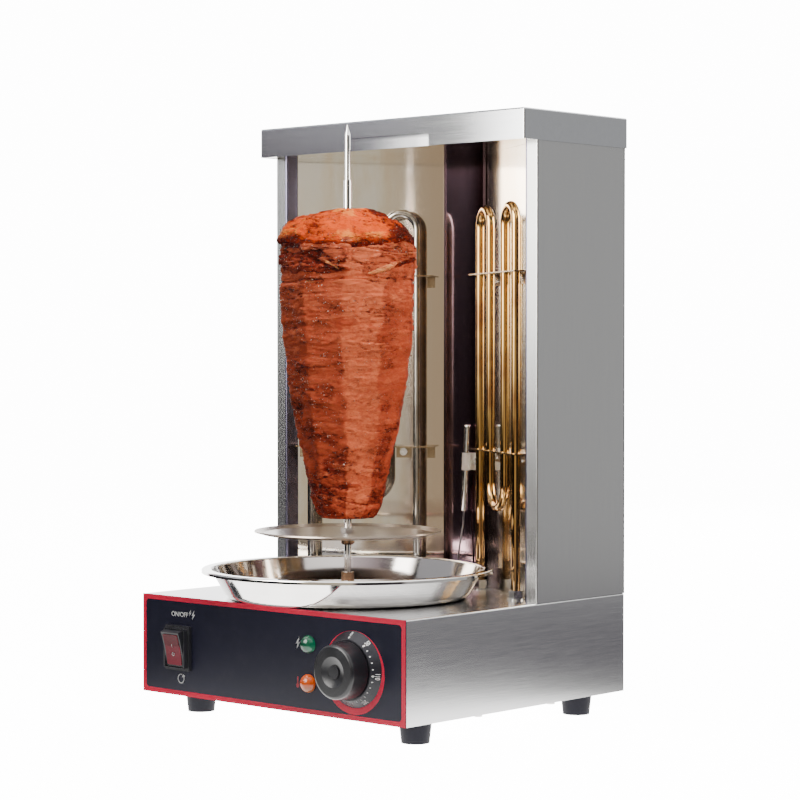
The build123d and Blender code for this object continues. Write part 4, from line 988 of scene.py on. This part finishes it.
@dataclass
class ControlPrint:
    """Red border, crescent, dial marks, icons and switch marks, each a thin plate of ink.

    Clock angles are degrees from straight up, clockwise. Places are measured from the middle of the control
    that a mark stands beside. A bolt icon is a name, a height, that control and its place.
    """

    ink_depth: float = 0.00015
    border: float = 0.0042
    outer_corner: float = 0.0006
    border_corner: float = 0.0032
    dial_radius: float = 0.0309
    dial_top_radius: float = 0.0246
    dial_height: float = 0.007
    crescent_drop: float = 0.0027
    crescent_gap: float = 0.0001
    crescent_tip: float = 0.0002
    crescent_points: int = 160
    tick_radius: float = 0.0262
    tick_sizes: tuple[float, float] = (0.00048, 0.00082)
    tick_points: int = 20
    tick_sink: float = 0.00005
    number_radius: float = 0.0286
    number_size: float = 0.0037
    boldness: float = 0.012
    rocker_tilt: float = math.radians(13)
    rocker_pivot: float = 0.0036
    rocker_face: float = 0.0054
    rocker_dish: float = 0.0009
    rocker_gap: float = 0.00006
    rocker_size: float = 0.0044
    rocker_letters: Sequence[tuple[str, float]] = (("I", 0.0031), ("O", -0.0042))
    words_size: float = 0.0058
    words_place: Point = (0.0005, 0, 0.0285)
    lamp_icon_place: Point = (-0.0125, 0, 0)
    thermometer_height: float = 0.0095
    arrow_place: Point = (0.002, 0, -0.0265)
    arrow_radii: tuple[float, float, float] = (0.0042, 0.0033, 0.00375)
    arrow_head: Sequence[tuple[float, float]] = ((0.0022, 0), (-0.0002, 0.0020), (-0.0002, -0.0020))
    numbers: Sequence[tuple[int, str]] = ((0, "0"), (38, "50"), (96, "110"), (150, "200"), (184, "250"))
    bolt: Sequence[tuple[float, float]] = (
        (0.16, 0.5), (-0.24, -0.06), (-0.03, -0.02), (-0.14, -0.5), (0.26, 0.10), (0.05, 0.06))
    bolts: Sequence[tuple[str, float, str, Point]] = (
        ("icon_bolt_power", 0.0105, "power_lamp", (-0.0125, 0, 0)),
        ("icon_bolt_switch_a", 0.0085, "switch_frame", (0.0175, 0, 0.0290)),
        ("icon_bolt_switch_b", 0.0060, "switch_frame", (0.0135, 0, 0.0305)))
    slot: str = "panel_black"
    body: str = "housing"

    def __post_init__(self) -> None:
        """Takes the panel's face and the places of the dial and the switch from the nodes."""
        low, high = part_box("front_panel")
        self.low, self.high = np.array(low), np.array(high)
        self.front = self.low[1]
        self.dial, self.switch = middle_of("dial"), middle_of("switch_frame")

    def rounded(self, width: float, height: float, corner: float, count: int = 25) -> Array:
        """Outline of a rounded rectangle, each quarter a centre plus corner * (cos, sin)."""
        quarter = np.linspace(0, math.pi / 2, count)
        angle = np.concatenate([quarter + k * math.pi / 2 for k in range(4)])
        signs = np.repeat(np.array([(1, 1), (-1, 1), (-1, -1), (1, -1)]), count, axis=0)
        centre = signs * (np.array([width, height]) / 2 - corner)
        return centre + corner * on_circle(angle)

    def band(self, name: str, outer: Array, inner: Array, middle: Array) -> Piece:
        """Flat ring of ink on the panel's face.

        Args:
            name: Piece's name.
            outer: N x 2 outline across and up.
            inner: N x 2 outline inside it, with as many points.
            middle: Place of their origin.

        Returns:
            The piece.
        """
        count = len(outer)
        rings = np.concatenate([outer, outer, inner, inner])
        depth = np.repeat([self.ink_depth, -self.ink_depth, -self.ink_depth, self.ink_depth], count)
        points = np.stack([middle[0] + rings[:, 0], self.front + depth, middle[2] + rings[:, 1]], -1)
        faces = Builder.tube_faces(4, count, closed_rows=True)[:, ::-1]
        return Builder.mesh(name, points, faces, smooth_shaded=False)

    def red_border(self) -> Piece:
        """Border round the whole panel with rounded inner corners."""
        wide, _, tall = self.high - self.low
        outer = self.rounded(wide, tall, self.outer_corner)
        inner = self.rounded(wide - 2 * self.border, tall - 2 * self.border, self.border_corner)
        return self.band("panel_border", outer, inner, (self.high + self.low) / 2)

    def crescent(self) -> Piece:
        """Red crescent: the dial's circle inside one that is larger and set lower."""
        ring = circle(self.crescent_points)
        inner = (self.dial_radius + self.crescent_gap) * ring
        outer = (self.dial_radius + self.crescent_drop + self.crescent_tip) * ring - (0, self.crescent_drop)
        return self.band("panel_crescent", outer, inner, self.dial)

    def on_dial(self, places: Array, raised: Array) -> Array:
        """Points on the dial's cone from N x 2 places about its middle and heights above its surface."""
        across, up = places[:, 0], places[:, 1]
        share = (self.dial_radius - np.hypot(across, up)) / (self.dial_radius - self.dial_top_radius)
        depth = np.clip(share, 0, 1) * self.dial_height + raised
        return np.stack([self.dial[0] + across, self.front - depth, self.dial[2] + up], -1)

    def ticks(self) -> list[Piece]:
        """Dots round the dial: a small disc each, larger beside a number."""
        made, count = [], self.tick_points
        clocks = [0, *np.arange(38, 96.1, 11.6), *np.arange(96, 150.1, 10.8), *np.arange(150, 216, 11.3)]
        for number, clock in enumerate(clocks):
            size = self.tick_sizes[any(abs(clock - key) < 2 for key, _ in self.numbers)]
            places = self.tick_radius * on_circle(math.radians(90 - clock)) + size * circle(count)
            low, high = (self.on_dial(places, np.full(count, level))
                         for level in (-self.tick_sink, self.ink_depth))
            foot, head = (np.repeat(row.mean(0)[None], count, 0) for row in (low, high))
            points = np.concatenate([foot, low, high, head])
            faces = Builder.tube_faces(4, count)[:, ::-1]
            made.append(Builder.mesh(f"dial_tick_{number}", points, faces, smooth_shaded=False))
        return made

    def plate(self, name: str, curve: bpy.types.Curve) -> tuple[Piece, Array]:
        """Turns a flat curve into a piece as thick as the ink.

        Args:
            name: Piece's name.
            curve: The outline.

        Returns:
            The piece and its N x 3 points about the curve's origin: across, up, and thickness.
        """
        curve.extrude = self.ink_depth / 2
        holder = linked(name + "_curve", curve)
        bpy.context.view_layer.update()
        data = bpy.data.meshes.new_from_object(holder.evaluated_get(bpy.context.evaluated_depsgraph_get()))
        bpy.data.objects.remove(holder)
        data.name = name
        points = np.empty(len(data.vertices) * 3, dtype=np.float32)
        data.vertices.foreach_get("co", points)
        return linked(name, data), points.reshape(-1, 3).astype(float)

    def lettering(self, name: str, text: str, size: float) -> tuple[Piece, Array]:
        """Characters of an em's size as a piece, with its points about their own middle."""
        curve = bpy.data.curves.new(name, "FONT")
        curve.body, curve.size, curve.align_x, curve.align_y = text, size, "CENTER", "CENTER"
        curve.offset = size * self.boldness
        return self.plate(name, curve)

    @staticmethod
    def settle(piece: Piece, points: Array) -> Piece:
        """Writes points back into a piece's mesh."""
        piece.data.vertices.foreach_set("co", points.astype(np.float32).ravel())
        piece.data.update()
        return piece

    def lay(self, piece: Piece, local: Array, middle: Sequence[float]) -> Piece:
        """Lays a piece's points flat on the panel's face, their origin at a place."""
        across, up, thick = local.T
        return self.settle(piece, np.stack([
            middle[0] + across, self.front - thick - self.ink_depth / 2, middle[2] + up], -1))

    def icon(self, name: str, outline: Array, middle: Sequence[float]) -> Piece:
        """Plate of ink on the panel's face.

        Args:
            name: Piece's name.
            outline: N x 2 points, counter-clockwise, across and up.
            middle: Place of the outline's origin.

        Returns:
            The piece.
        """
        curve = bpy.data.curves.new(name, "CURVE")
        curve.dimensions, curve.fill_mode = "2D", "BOTH"
        spline = curve.splines.new("POLY")
        spline.points.add(len(outline) - 1)
        flat = np.column_stack([outline, np.zeros(len(outline)), np.ones(len(outline))])
        spline.points.foreach_set("co", flat.astype(np.float32).ravel())
        spline.use_cyclic_u = True
        return self.lay(*self.plate(name, curve), middle)

    def dial_numbers(self) -> list[Piece]:
        """Plain numbers round the dial, each turned to read outwards from the knob."""
        made = []
        for clock, text in self.numbers:
            piece, local = self.lettering(f"dial_number_{text}", text, self.number_size)
            at = math.radians(90 - clock)
            places = turned(local, at - math.pi / 2) + self.number_radius * on_circle(at)
            made.append(self.settle(piece, self.on_dial(places, local[:, 2] + self.ink_depth / 2)))
        return made

    def rocker_marks(self) -> list[Piece]:
        """Line and circle on the rocker, laid into its hollow, tilted face."""
        low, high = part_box("rocker_face")
        hollow = ((high[2] - low[2]) / 2) ** 2 / (2 * self.rocker_dish)
        made = []
        for text, up in self.rocker_letters:
            piece, local = self.lettering(f"rocker_mark_{text}", text, self.rocker_size)
            along = local[:, 1] + up
            face = self.rocker_face - self.rocker_dish + along ** 2 / (2 * hollow)
            depth = face + local[:, 2] + self.rocker_gap
            z, out = turned(np.stack([along, depth], -1), self.rocker_tilt).T
            made.append(self.settle(piece, np.stack([
                self.switch[0] + local[:, 0], self.front - self.rocker_pivot - out, self.switch[2] + z], -1)))
        return made

    def thermometer(self, height: float) -> Array:
        """Outline of a thermometer: a bulb that is most of a circle and a narrow stem with a round top."""
        bulb = 0.19 * on_circle(np.radians(np.linspace(118, 422, 20))) + (0, -0.30)
        stem = 0.089 * on_circle(np.radians(np.linspace(0, 180, 9))) + (0, 0.41)
        return np.concatenate([bulb, stem]) * height

    def rotation_arrow(self) -> list[Piece]:
        """Round arrow below the switch: an open ring and its head."""
        place = self.switch + self.arrow_place
        outer, inner, middle = self.arrow_radii
        ring = on_circle(np.radians(np.linspace(70, 385, 40)))
        head = turned(np.array(self.arrow_head), math.radians(465))
        head = head + middle * on_circle(math.radians(405) - 0.25)
        return [self.icon("icon_turn_ring", np.concatenate([outer * ring, inner * ring[::-1]]), place),
                self.icon("icon_turn_head", head, place)]

    def build(self) -> None:
        """Makes and dresses every mark."""
        red = Ink((0.92, 0.003, 0.060), (0.80, 0.003, 0.052), 0.45).build("red_ink")
        white = Ink().build("white_ink")
        warm = Ink((0.55, 0.06, 0.08), (0.45, 0.05, 0.07)).build("icon_red_ink")
        marks = [(piece, red) for piece in (self.red_border(), self.crescent())]
        plain = [self.icon(name, np.array(self.bolt) * height, middle_of(node) + shift)
                 for name, height, node, shift in self.bolts]
        words = self.lettering("switch_words", "ON/OFF", self.words_size)
        plain.append(self.lay(*words, self.switch + self.words_place))
        plain += [*self.rotation_arrow(), *self.ticks(), *self.dial_numbers()]
        marks += [(piece, white) for piece in plain]
        hot = self.icon("icon_thermometer", self.thermometer(self.thermometer_height),
                        middle_of("heat_lamp") + self.lamp_icon_place)
        for piece, ink in (*marks, (hot, warm)):
            Builder.dress(piece, ink, self.body, self.slot)
        for piece in self.rocker_marks():
            Builder.dress(piece, white, "rocker", "rocker_red")


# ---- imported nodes

class Dressed:
    """Sub-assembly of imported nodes, whose finishes are listed by their names."""

    def finishes(self) -> Dressing:
        """Each finish and the nodes that have it, by the finish's name."""
        raise NotImplementedError

    def build(self) -> None:
        """Puts each finish on its nodes."""
        for name, (finish, nodes) in self.finishes().items():
            dress_nodes(finish.build(name), nodes)


@dataclass
class Casing(Dressed):
    """Base, upright, cover, reflectors, feet and fasteners."""

    sides: Sequence[str] = ("side_panel_left", "side_panel_right")
    reflectors: Sequence[str] = ("reflector_right", "ceiling_plate")
    feet: Sequence[str] = ("foot_front_left", "foot_front_right", "foot_rear_left", "foot_rear_right")
    fasteners: Sequence[str] = ("foot_screws", "bottom_screws", "rear_panel_screws", "cover_screws",
                                "element_washers", "element_nuts", "spacer_screws", "sensor_screw",
                                "motor_fixings")
    band_half_width: float = 0.0495
    band_height: float = 0.011
    band_depth: float = 0.003

    def finishes(self) -> Dressing:
        """Grain of each sheet, and the metal or rubber of each small part."""
        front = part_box("top_cover")[0]
        band = (self.band_half_width, front[2] + self.band_height, front[1] + self.band_depth)
        return {
            # The upright sides' inner return is darkened as painted shade.
            "upright_steel": (BrushedSteel(Grain.UPRIGHT, (0.61, 0.61, 0.60), (0.58, 0.58, 0.58), 0.27, 0.02,
                                           inner_edge=0.1432, relief=0.0), self.sides),
            "base_steel": (BrushedSteel(Grain.LEVEL_Y, (0.64, 0.64, 0.64), (0.55, 0.55, 0.56), 0.24,
                                        buckle=0.0004), ("base_shell", "bottom_plate")),
            # The cover's lip band is painted lighter as a highlight.
            "cover_steel": (BrushedSteel(Grain.LEVEL_X, (0.63, 0.64, 0.66), (0.56, 0.57, 0.59), 0.13, 0.06,
                                         buckle=0.0009, band=band), ("top_cover",)),
            "rear_steel": (BrushedSteel(Grain.LEVEL_X, roughness=0.36), ("rear_panel",)),
            "reflector_steel": (MirrorSteel(), self.reflectors),
            "wing_steel": (MirrorSteel(darkening=(0.58, 0.47, 0.37), span=(-0.085, -0.03)), ("reflector_left",)),
            # The back reflector's dark tones, span darkening and hem are painted shade and painted dark
            # reflection.
            "back_steel_painted_shade": (MirrorSteel((0.44, 0.30, 0.35), (0.36, 0.22, 0.24), darkening=(0.05, 0.013, 0.013),
                                       span=(-0.004, 0.0225), hem=0.0218), ("reflector_back",)),
            "foot_rubber": (Moulded((0.008, 0.008, 0.013), (0.020, 0.020, 0.027), 0.62, shine=0.2),
                            self.feet),
            "fastener_steel": (TurnedSteel(roughness=0.16, rings_per_metre=900.0), self.fasteners)}


@dataclass
class Heating(Dressed):
    """Tube elements, their spacers, and the thermostat's sensor."""

    spacers: Sequence[str] = ("element_spacers_left", "element_spacers_right")

    def finishes(self) -> Dressing:
        """Heat tint of the tubes, the right element's copy darker and warmer as a painted warm reflection,
        and bright metal of the sensor.
        """
        return {
            "element_steel": (HeatedTube(), ("heating_element_left",)),
            # The right element is a darker, warmer, glossier copy of the tube finish: heat tint together with
            # a painted warm reflection.
            "element_straw_painted_reflection": (HeatedTube((0.36, 0.22, 0.10), (0.60, 0.36, 0.12), (0.30, 0.13, 0.045),
                                         roughness=0.03), ("heating_element_right",)),
            "spacer_steel": (HeatedTube((0.34, 0.27, 0.19), (0.38, 0.28, 0.17), (0.22, 0.14, 0.08),
                                        roughness=0.2), self.spacers),
            "sensor_steel": (TurnedSteel(light=(0.92, 0.90, 0.87)), ("sensor_bulb",)),
            "clip_enamel": (Moulded((0.96, 0.92, 0.82), (0.86, 0.80, 0.68), 0.30, coat=0.5),
                            ("sensor_clip",)),
            "capillary_metal": (TurnedSteel((0.16, 0.14, 0.14), (0.08, 0.07, 0.075), 0.30),
                                ("capillary_tube",))}


@dataclass
class SpitAndPan(Dressed):
    """Drive hub, rod, disc and drip pan."""

    polished: Sequence[str] = ("disc_nut", "skewer", "thermostat_shaft")
    heated: Sequence[str] = ("disc_hub", "drive_hub")

    def finishes(self) -> Dressing:
        """Polish and heat tint of the turned parts."""
        return {
            "polished_steel": (TurnedSteel(), self.polished),
            "heated_steel": (TurnedSteel((0.50, 0.31, 0.19), (0.30, 0.17, 0.10), 0.16), self.heated),
            "disc_steel": (TurnedSteel((0.38, 0.31, 0.26), (0.30, 0.24, 0.20), 0.24), ("spit_disc",)),
            # The pan's inside is darkened as painted shade.
            "pan_steel": (TurnedSteel(roughness=0.045, rings_per_metre=700.0, mouth=0.1172), ("drip_pan",)),
            "bush_brass": (TurnedSteel((0.85, 0.66, 0.33), (0.66, 0.48, 0.22), 0.22), ("shaft_bush",)),
            "motor_metal": (BrushedSteel(Grain.LEVEL_X, (0.48, 0.49, 0.50), (0.36, 0.37, 0.38), 0.45),
                            ("gear_motor",))}


@dataclass
class Controls(Dressed):
    """Panel, switch, lamps, dial, knob and the parts behind them."""

    switch: Sequence[str] = ("switch_frame", "switch_body", "rocker_body")
    inner: Sequence[str] = ("lamp_holders", "thermostat_body", "terminal_block")
    gland: Sequence[str] = ("cord_gland", "gland_nut")

    def finishes(self) -> Dressing:
        """Satin print of the panel and the plastic of each control."""
        face, green, orange = (float(middle_of(node)[2])
                               for node in ("rocker_face", "power_lamp", "heat_lamp"))
        return {
            "panel_black": (Moulded((0.009, 0.009, 0.021), (0.013, 0.013, 0.025), 0.36, 0.06, 3200.0, 0.00001,
                                    shine=0.15), ("front_panel",)),
            "switch_black": (Moulded((0.010, 0.010, 0.013), (0.026, 0.026, 0.031), 0.42, coat=0.05,
                                     shine=0.3), self.switch),
            "rocker_red": (RockerRed(middle_z=face, fold=0.0028), ("rocker_face",)),
            "lens_green": (Lens(middle_z=green), ("power_lamp",)),
            "lens_orange": (Lens((0.95, 0.13, 0.003), (1.0, 0.34, 0.09), orange, glow=0.25), ("heat_lamp",)),
            "knob_black": (Moulded((0.007, 0.007, 0.009), (0.018, 0.018, 0.021), 0.30, 0.10, coat=0.05,
                                   shine=0.35), ("temperature_knob",)),
            "dial_black": (Moulded((0.011, 0.011, 0.015), (0.020, 0.020, 0.026), 0.36, 0.08, shine=0.25),
                           ("dial",)),
            "inner_plastic": (Moulded((0.62, 0.60, 0.55), (0.50, 0.48, 0.44), 0.5), self.inner),
            "gland_black": (Moulded((0.02, 0.02, 0.02), (0.05, 0.05, 0.05), 0.55), self.gland)}


# ---- stage and light

@dataclass(frozen=True)
class SoftBox:
    """Soft rectangle of light in the room, by the directions that it fills, in degrees."""

    middle: float
    half_width: float
    low: float
    high: float
    glow: float
    tint: Colour = WHITE
    edge: float = 3.0


@dataclass
class Studio:
    """Pale round sweep, soft lamps, and a room of soft boxes and dark gaps that gives steel its contrast.

    The sweep's profile is flat, bends up through a quarter and ends in a wall. The card's corners are
    distances from its near edge and heights.
    """

    azimuth: float = 42.566
    pitch: float = 1.303
    position: Point = (1.43023, -1.49087, 0.31718)
    lens: float = 108.54
    sensor: float = 36.0
    far: float = 50.0
    gap_glow: float = 0.020
    gap_tint: Colour = (1.0, 0.82, 0.90)
    boxes: Sequence[SoftBox] = (
        SoftBox(60, 62, -40, 70, 0.52),
        SoftBox(-62, 21, -60, 50, 0.62, (1.0, 0.89, 0.70)),
        SoftBox(148, 24, -14, 22, 5.5, edge=4.0),
        SoftBox(-150, 30, 5.2, 50, 0.92, (0.90, 0.93, 1.0), 2.0),
        SoftBox(40, 90, 24, 58, 2.4, edge=4.0),
        SoftBox(0, 400, 56, 95, 4.2, edge=8.0))
    sweep_hub: float = 0.002
    sweep_flat: float = 3.2
    sweep_bend: float = 1.4
    sweep_wall: float = 4.5
    sweep_grid: tuple[int, int] = (96, 70)
    sweep_glow: float = 14.0
    table_radius: float = 1.2
    table_level: float = -0.001
    table_points: int = 64
    table_glow: float = 5.0
    card_bearing: float = -131.0
    card_distance: float = 1.0
    card_corners: Sequence[tuple[float, float]] = ((-0.02, 0.0), (1.25, 0.0), (1.25, 1.5), (-0.02, 1.5))
    card_glow: float = 20.0
    target: Point = (0.0, 0.05, 0.25)

    def camera(self) -> None:
        """Makes the camera, turned about Z by its azimuth and tipped down by its pitch."""
        data = bpy.data.cameras.new("camera")
        data.lens, data.sensor_width, data.clip_end = self.lens, self.sensor, self.far
        view = linked("camera", data)
        view.location = self.position
        view.rotation_euler = (math.radians(90 - self.pitch), 0.0, math.radians(self.azimuth))
        bpy.context.scene.camera = view

    @staticmethod
    def prop(piece: Piece, graph: Graph, hidden: Sequence[str], **inputs: Any) -> None:
        """Puts a glowing piece on the stage.

        Args:
            piece: The piece.
            graph: Node tree of its material.
            hidden: Kinds of ray that don't meet it.
            inputs: Values of its shader that differ from dull black.
        """
        dull = {"Base_Color": (0, 0, 0), "Specular_IOR_Level": 0.0, "Roughness": 1.0}
        piece.data.materials.append(graph.surface(**dull | inputs))
        for kind in hidden:
            setattr(piece, f"visible_{kind}", False)

    def sweep(self) -> None:
        """Round sweep, a profile turned about the machine."""
        flat, bend, (columns, rows) = self.sweep_flat, self.sweep_bend, self.sweep_grid
        run = np.linspace(0, 1, rows)[:, None] * (flat + bend * math.pi / 2 + self.sweep_wall)
        turn = (np.arange(columns) / columns * TURN)[None, :]
        arc = np.clip((run - flat) / bend, 0, math.pi / 2)
        out = np.minimum(run, flat) + bend * np.sin(arc) + self.sweep_hub
        up = bend * (1 - np.cos(arc)) + np.maximum(run - flat - bend * math.pi / 2, 0)
        points = np.stack([out * np.cos(turn), out * np.sin(turn), up + 0 * turn], -1).reshape(-1, 3)
        faces = np.concatenate([Builder.halves(Builder.tube_faces(rows, columns)[:, ::-1]),
                                Builder.fan(columns, rows * columns)[:, [2, 0, 1]]])
        sheet = Builder.mesh("studio_sweep", np.concatenate([points, [[0.0, 0.0, 0.0]]]), faces)
        graph = Graph("studio_paper")
        paper = graph.mix(graph.noise(3.0), (0.80, 0.80, 0.80), (0.82, 0.82, 0.82))
        self.prop(sheet, graph, ("diffuse", "glossy", "transmission", "shadow"), Base_Color=paper,
                  Roughness=0.9, Emission_Color=WHITE, Emission_Strength=self.sweep_glow)

    def table(self) -> None:
        """White table top as steel sees it: a round disc that glows near the machine and fades outwards."""
        count = self.table_points
        rim = np.column_stack([self.table_radius * circle(count), np.full(count, self.table_level)])
        disc = Builder.mesh("studio_table", np.concatenate([rim, [[0.0, 0.0, self.table_level]]]),
                            Builder.fan(count, count)[:, [2, 0, 1]])
        graph = Graph("studio_table")
        radius = graph.reach()
        near = graph.mix(radius.between(0.24, 0.36), (1.0, 0.99, 0.97), (0.11, 0.11, 0.108))
        glow = graph.mix(radius.between(0.33, 0.56), near, (0.038, 0.036, 0.040))
        self.prop(disc, graph, ("camera", "diffuse", "shadow"), Emission_Color=glow,
                  Emission_Strength=self.table_glow)

    def card(self) -> None:
        """Upright glowing card to the left of the viewer, which only polished metal sees.

        It is a plane square to its bearing. Its glow rises smoothly from its near edge and from its foot.
        """
        turn = math.radians(self.card_bearing)
        across = np.array([-math.sin(turn), math.cos(turn), 0])
        out = np.array([math.cos(turn), math.sin(turn), 0])
        points = np.array([self.card_distance * out + s * across + (0, 0, z) for s, z in self.card_corners])
        card = Builder.mesh("studio_card", points, np.array([[0, 1, 2, 3]]))
        graph = Graph("studio_card")
        x, y, z = graph.axes()
        side = x * float(across[0]) + y * float(across[1])
        rising = side.between(0.03, 0.20) * z.between(0.17, 0.62) * side.between(1.25, 1.0)
        self.prop(card, graph, ("camera", "diffuse", "shadow"), Emission_Strength=self.card_glow,
                  Emission_Color=graph.mix(rising, (0.0, 0.0, 0.0), (1.0, 0.98, 0.94)))

    def lamp(self, name: str, place: Point, size: tuple[float, float], power: float,
             colour: Colour = WHITE) -> None:
        """Soft rectangular lamp that faces the target and stays out of reflections.

        Args:
            name: Lamp's name.
            place: Its middle.
            size: Width and height.
            power: Watts.
            colour: Tint.
        """
        data = bpy.data.lights.new(name, "AREA")
        data.shape, data.size, data.size_y = "RECTANGLE", *size
        data.energy, data.color = power, colour
        made = linked(name, data)
        away = np.array(place) - np.array(self.target)
        made.location = place
        made.rotation_euler = (math.acos(away[2] / np.linalg.norm(away)), 0.0,
                               math.atan2(away[1], away[0]) + math.pi / 2)
        made.visible_glossy = False

    def room(self) -> None:
        """World whose glow depends on direction alone: each box is a smooth window of bearing and height."""
        world = bpy.data.worlds.new("room")
        bpy.context.scene.world = world
        graph = Graph("room", world)
        x, y, z = graph.axes()
        height = graph.math("ARCTAN2", z, graph.reach()) * math.degrees(1)
        tint: Any = self.gap_tint
        glow: Shade | float = self.gap_glow
        for box in self.boxes:
            turn = math.radians(box.middle)
            along = x * math.cos(turn) + y * math.sin(turn)
            across = y * math.cos(turn) - x * math.sin(turn)
            bearing = abs(graph.math("ARCTAN2", across, along)) * math.degrees(1)
            mask = (bearing.between(box.half_width + box.edge, box.half_width - box.edge)
                    * height.between(box.low - box.edge, box.low + box.edge)
                    * height.between(box.high + box.edge, box.high - box.edge))
            tint = graph.mix(mask, tint, box.tint)
            glow = mask * box.glow + (1 - mask) * glow
        back = graph.node("Background", {}, {"Color": tint, "Strength": glow})
        output = graph.node("OutputWorld")
        graph.tree.links.new(back.outputs[0], output.inputs["Surface"])
        world.cycles_visibility.diffuse = False

    def build(self) -> None:
        """Makes the camera, the sweep, the table's glow, the card, the room and the lamps."""
        for make in (self.camera, self.sweep, self.table, self.card, self.room):
            make()
        self.lamp("lamp_top", (0.2, -0.5, 2.4), (1.2, 1.2), 46.0)
        self.lamp("lamp_front", (2.6, -0.65, 1.3), (1.0, 1.2), 100.0, (1.0, 0.98, 0.95))
        self.lamp("lamp_left", (-0.9, -2.4, 1.0), (0.8, 1.2), 22.0)
        self.lamp("lamp_back", (-0.9, 2.3, 1.3), (1.0, 1.2), 40.0)


def main() -> None:
    """Builds every sub-assembly in order."""
    logging.basicConfig(level=logging.INFO, format="%(message)s")
    for part in (Studio(), Casing(), Heating(), SpitAndPan(), Controls(), MeatStack(), ControlPrint()):
        LOG.info("-- %s", type(part).__name__)
        part.build()


if __name__ == "__main__":
    main()
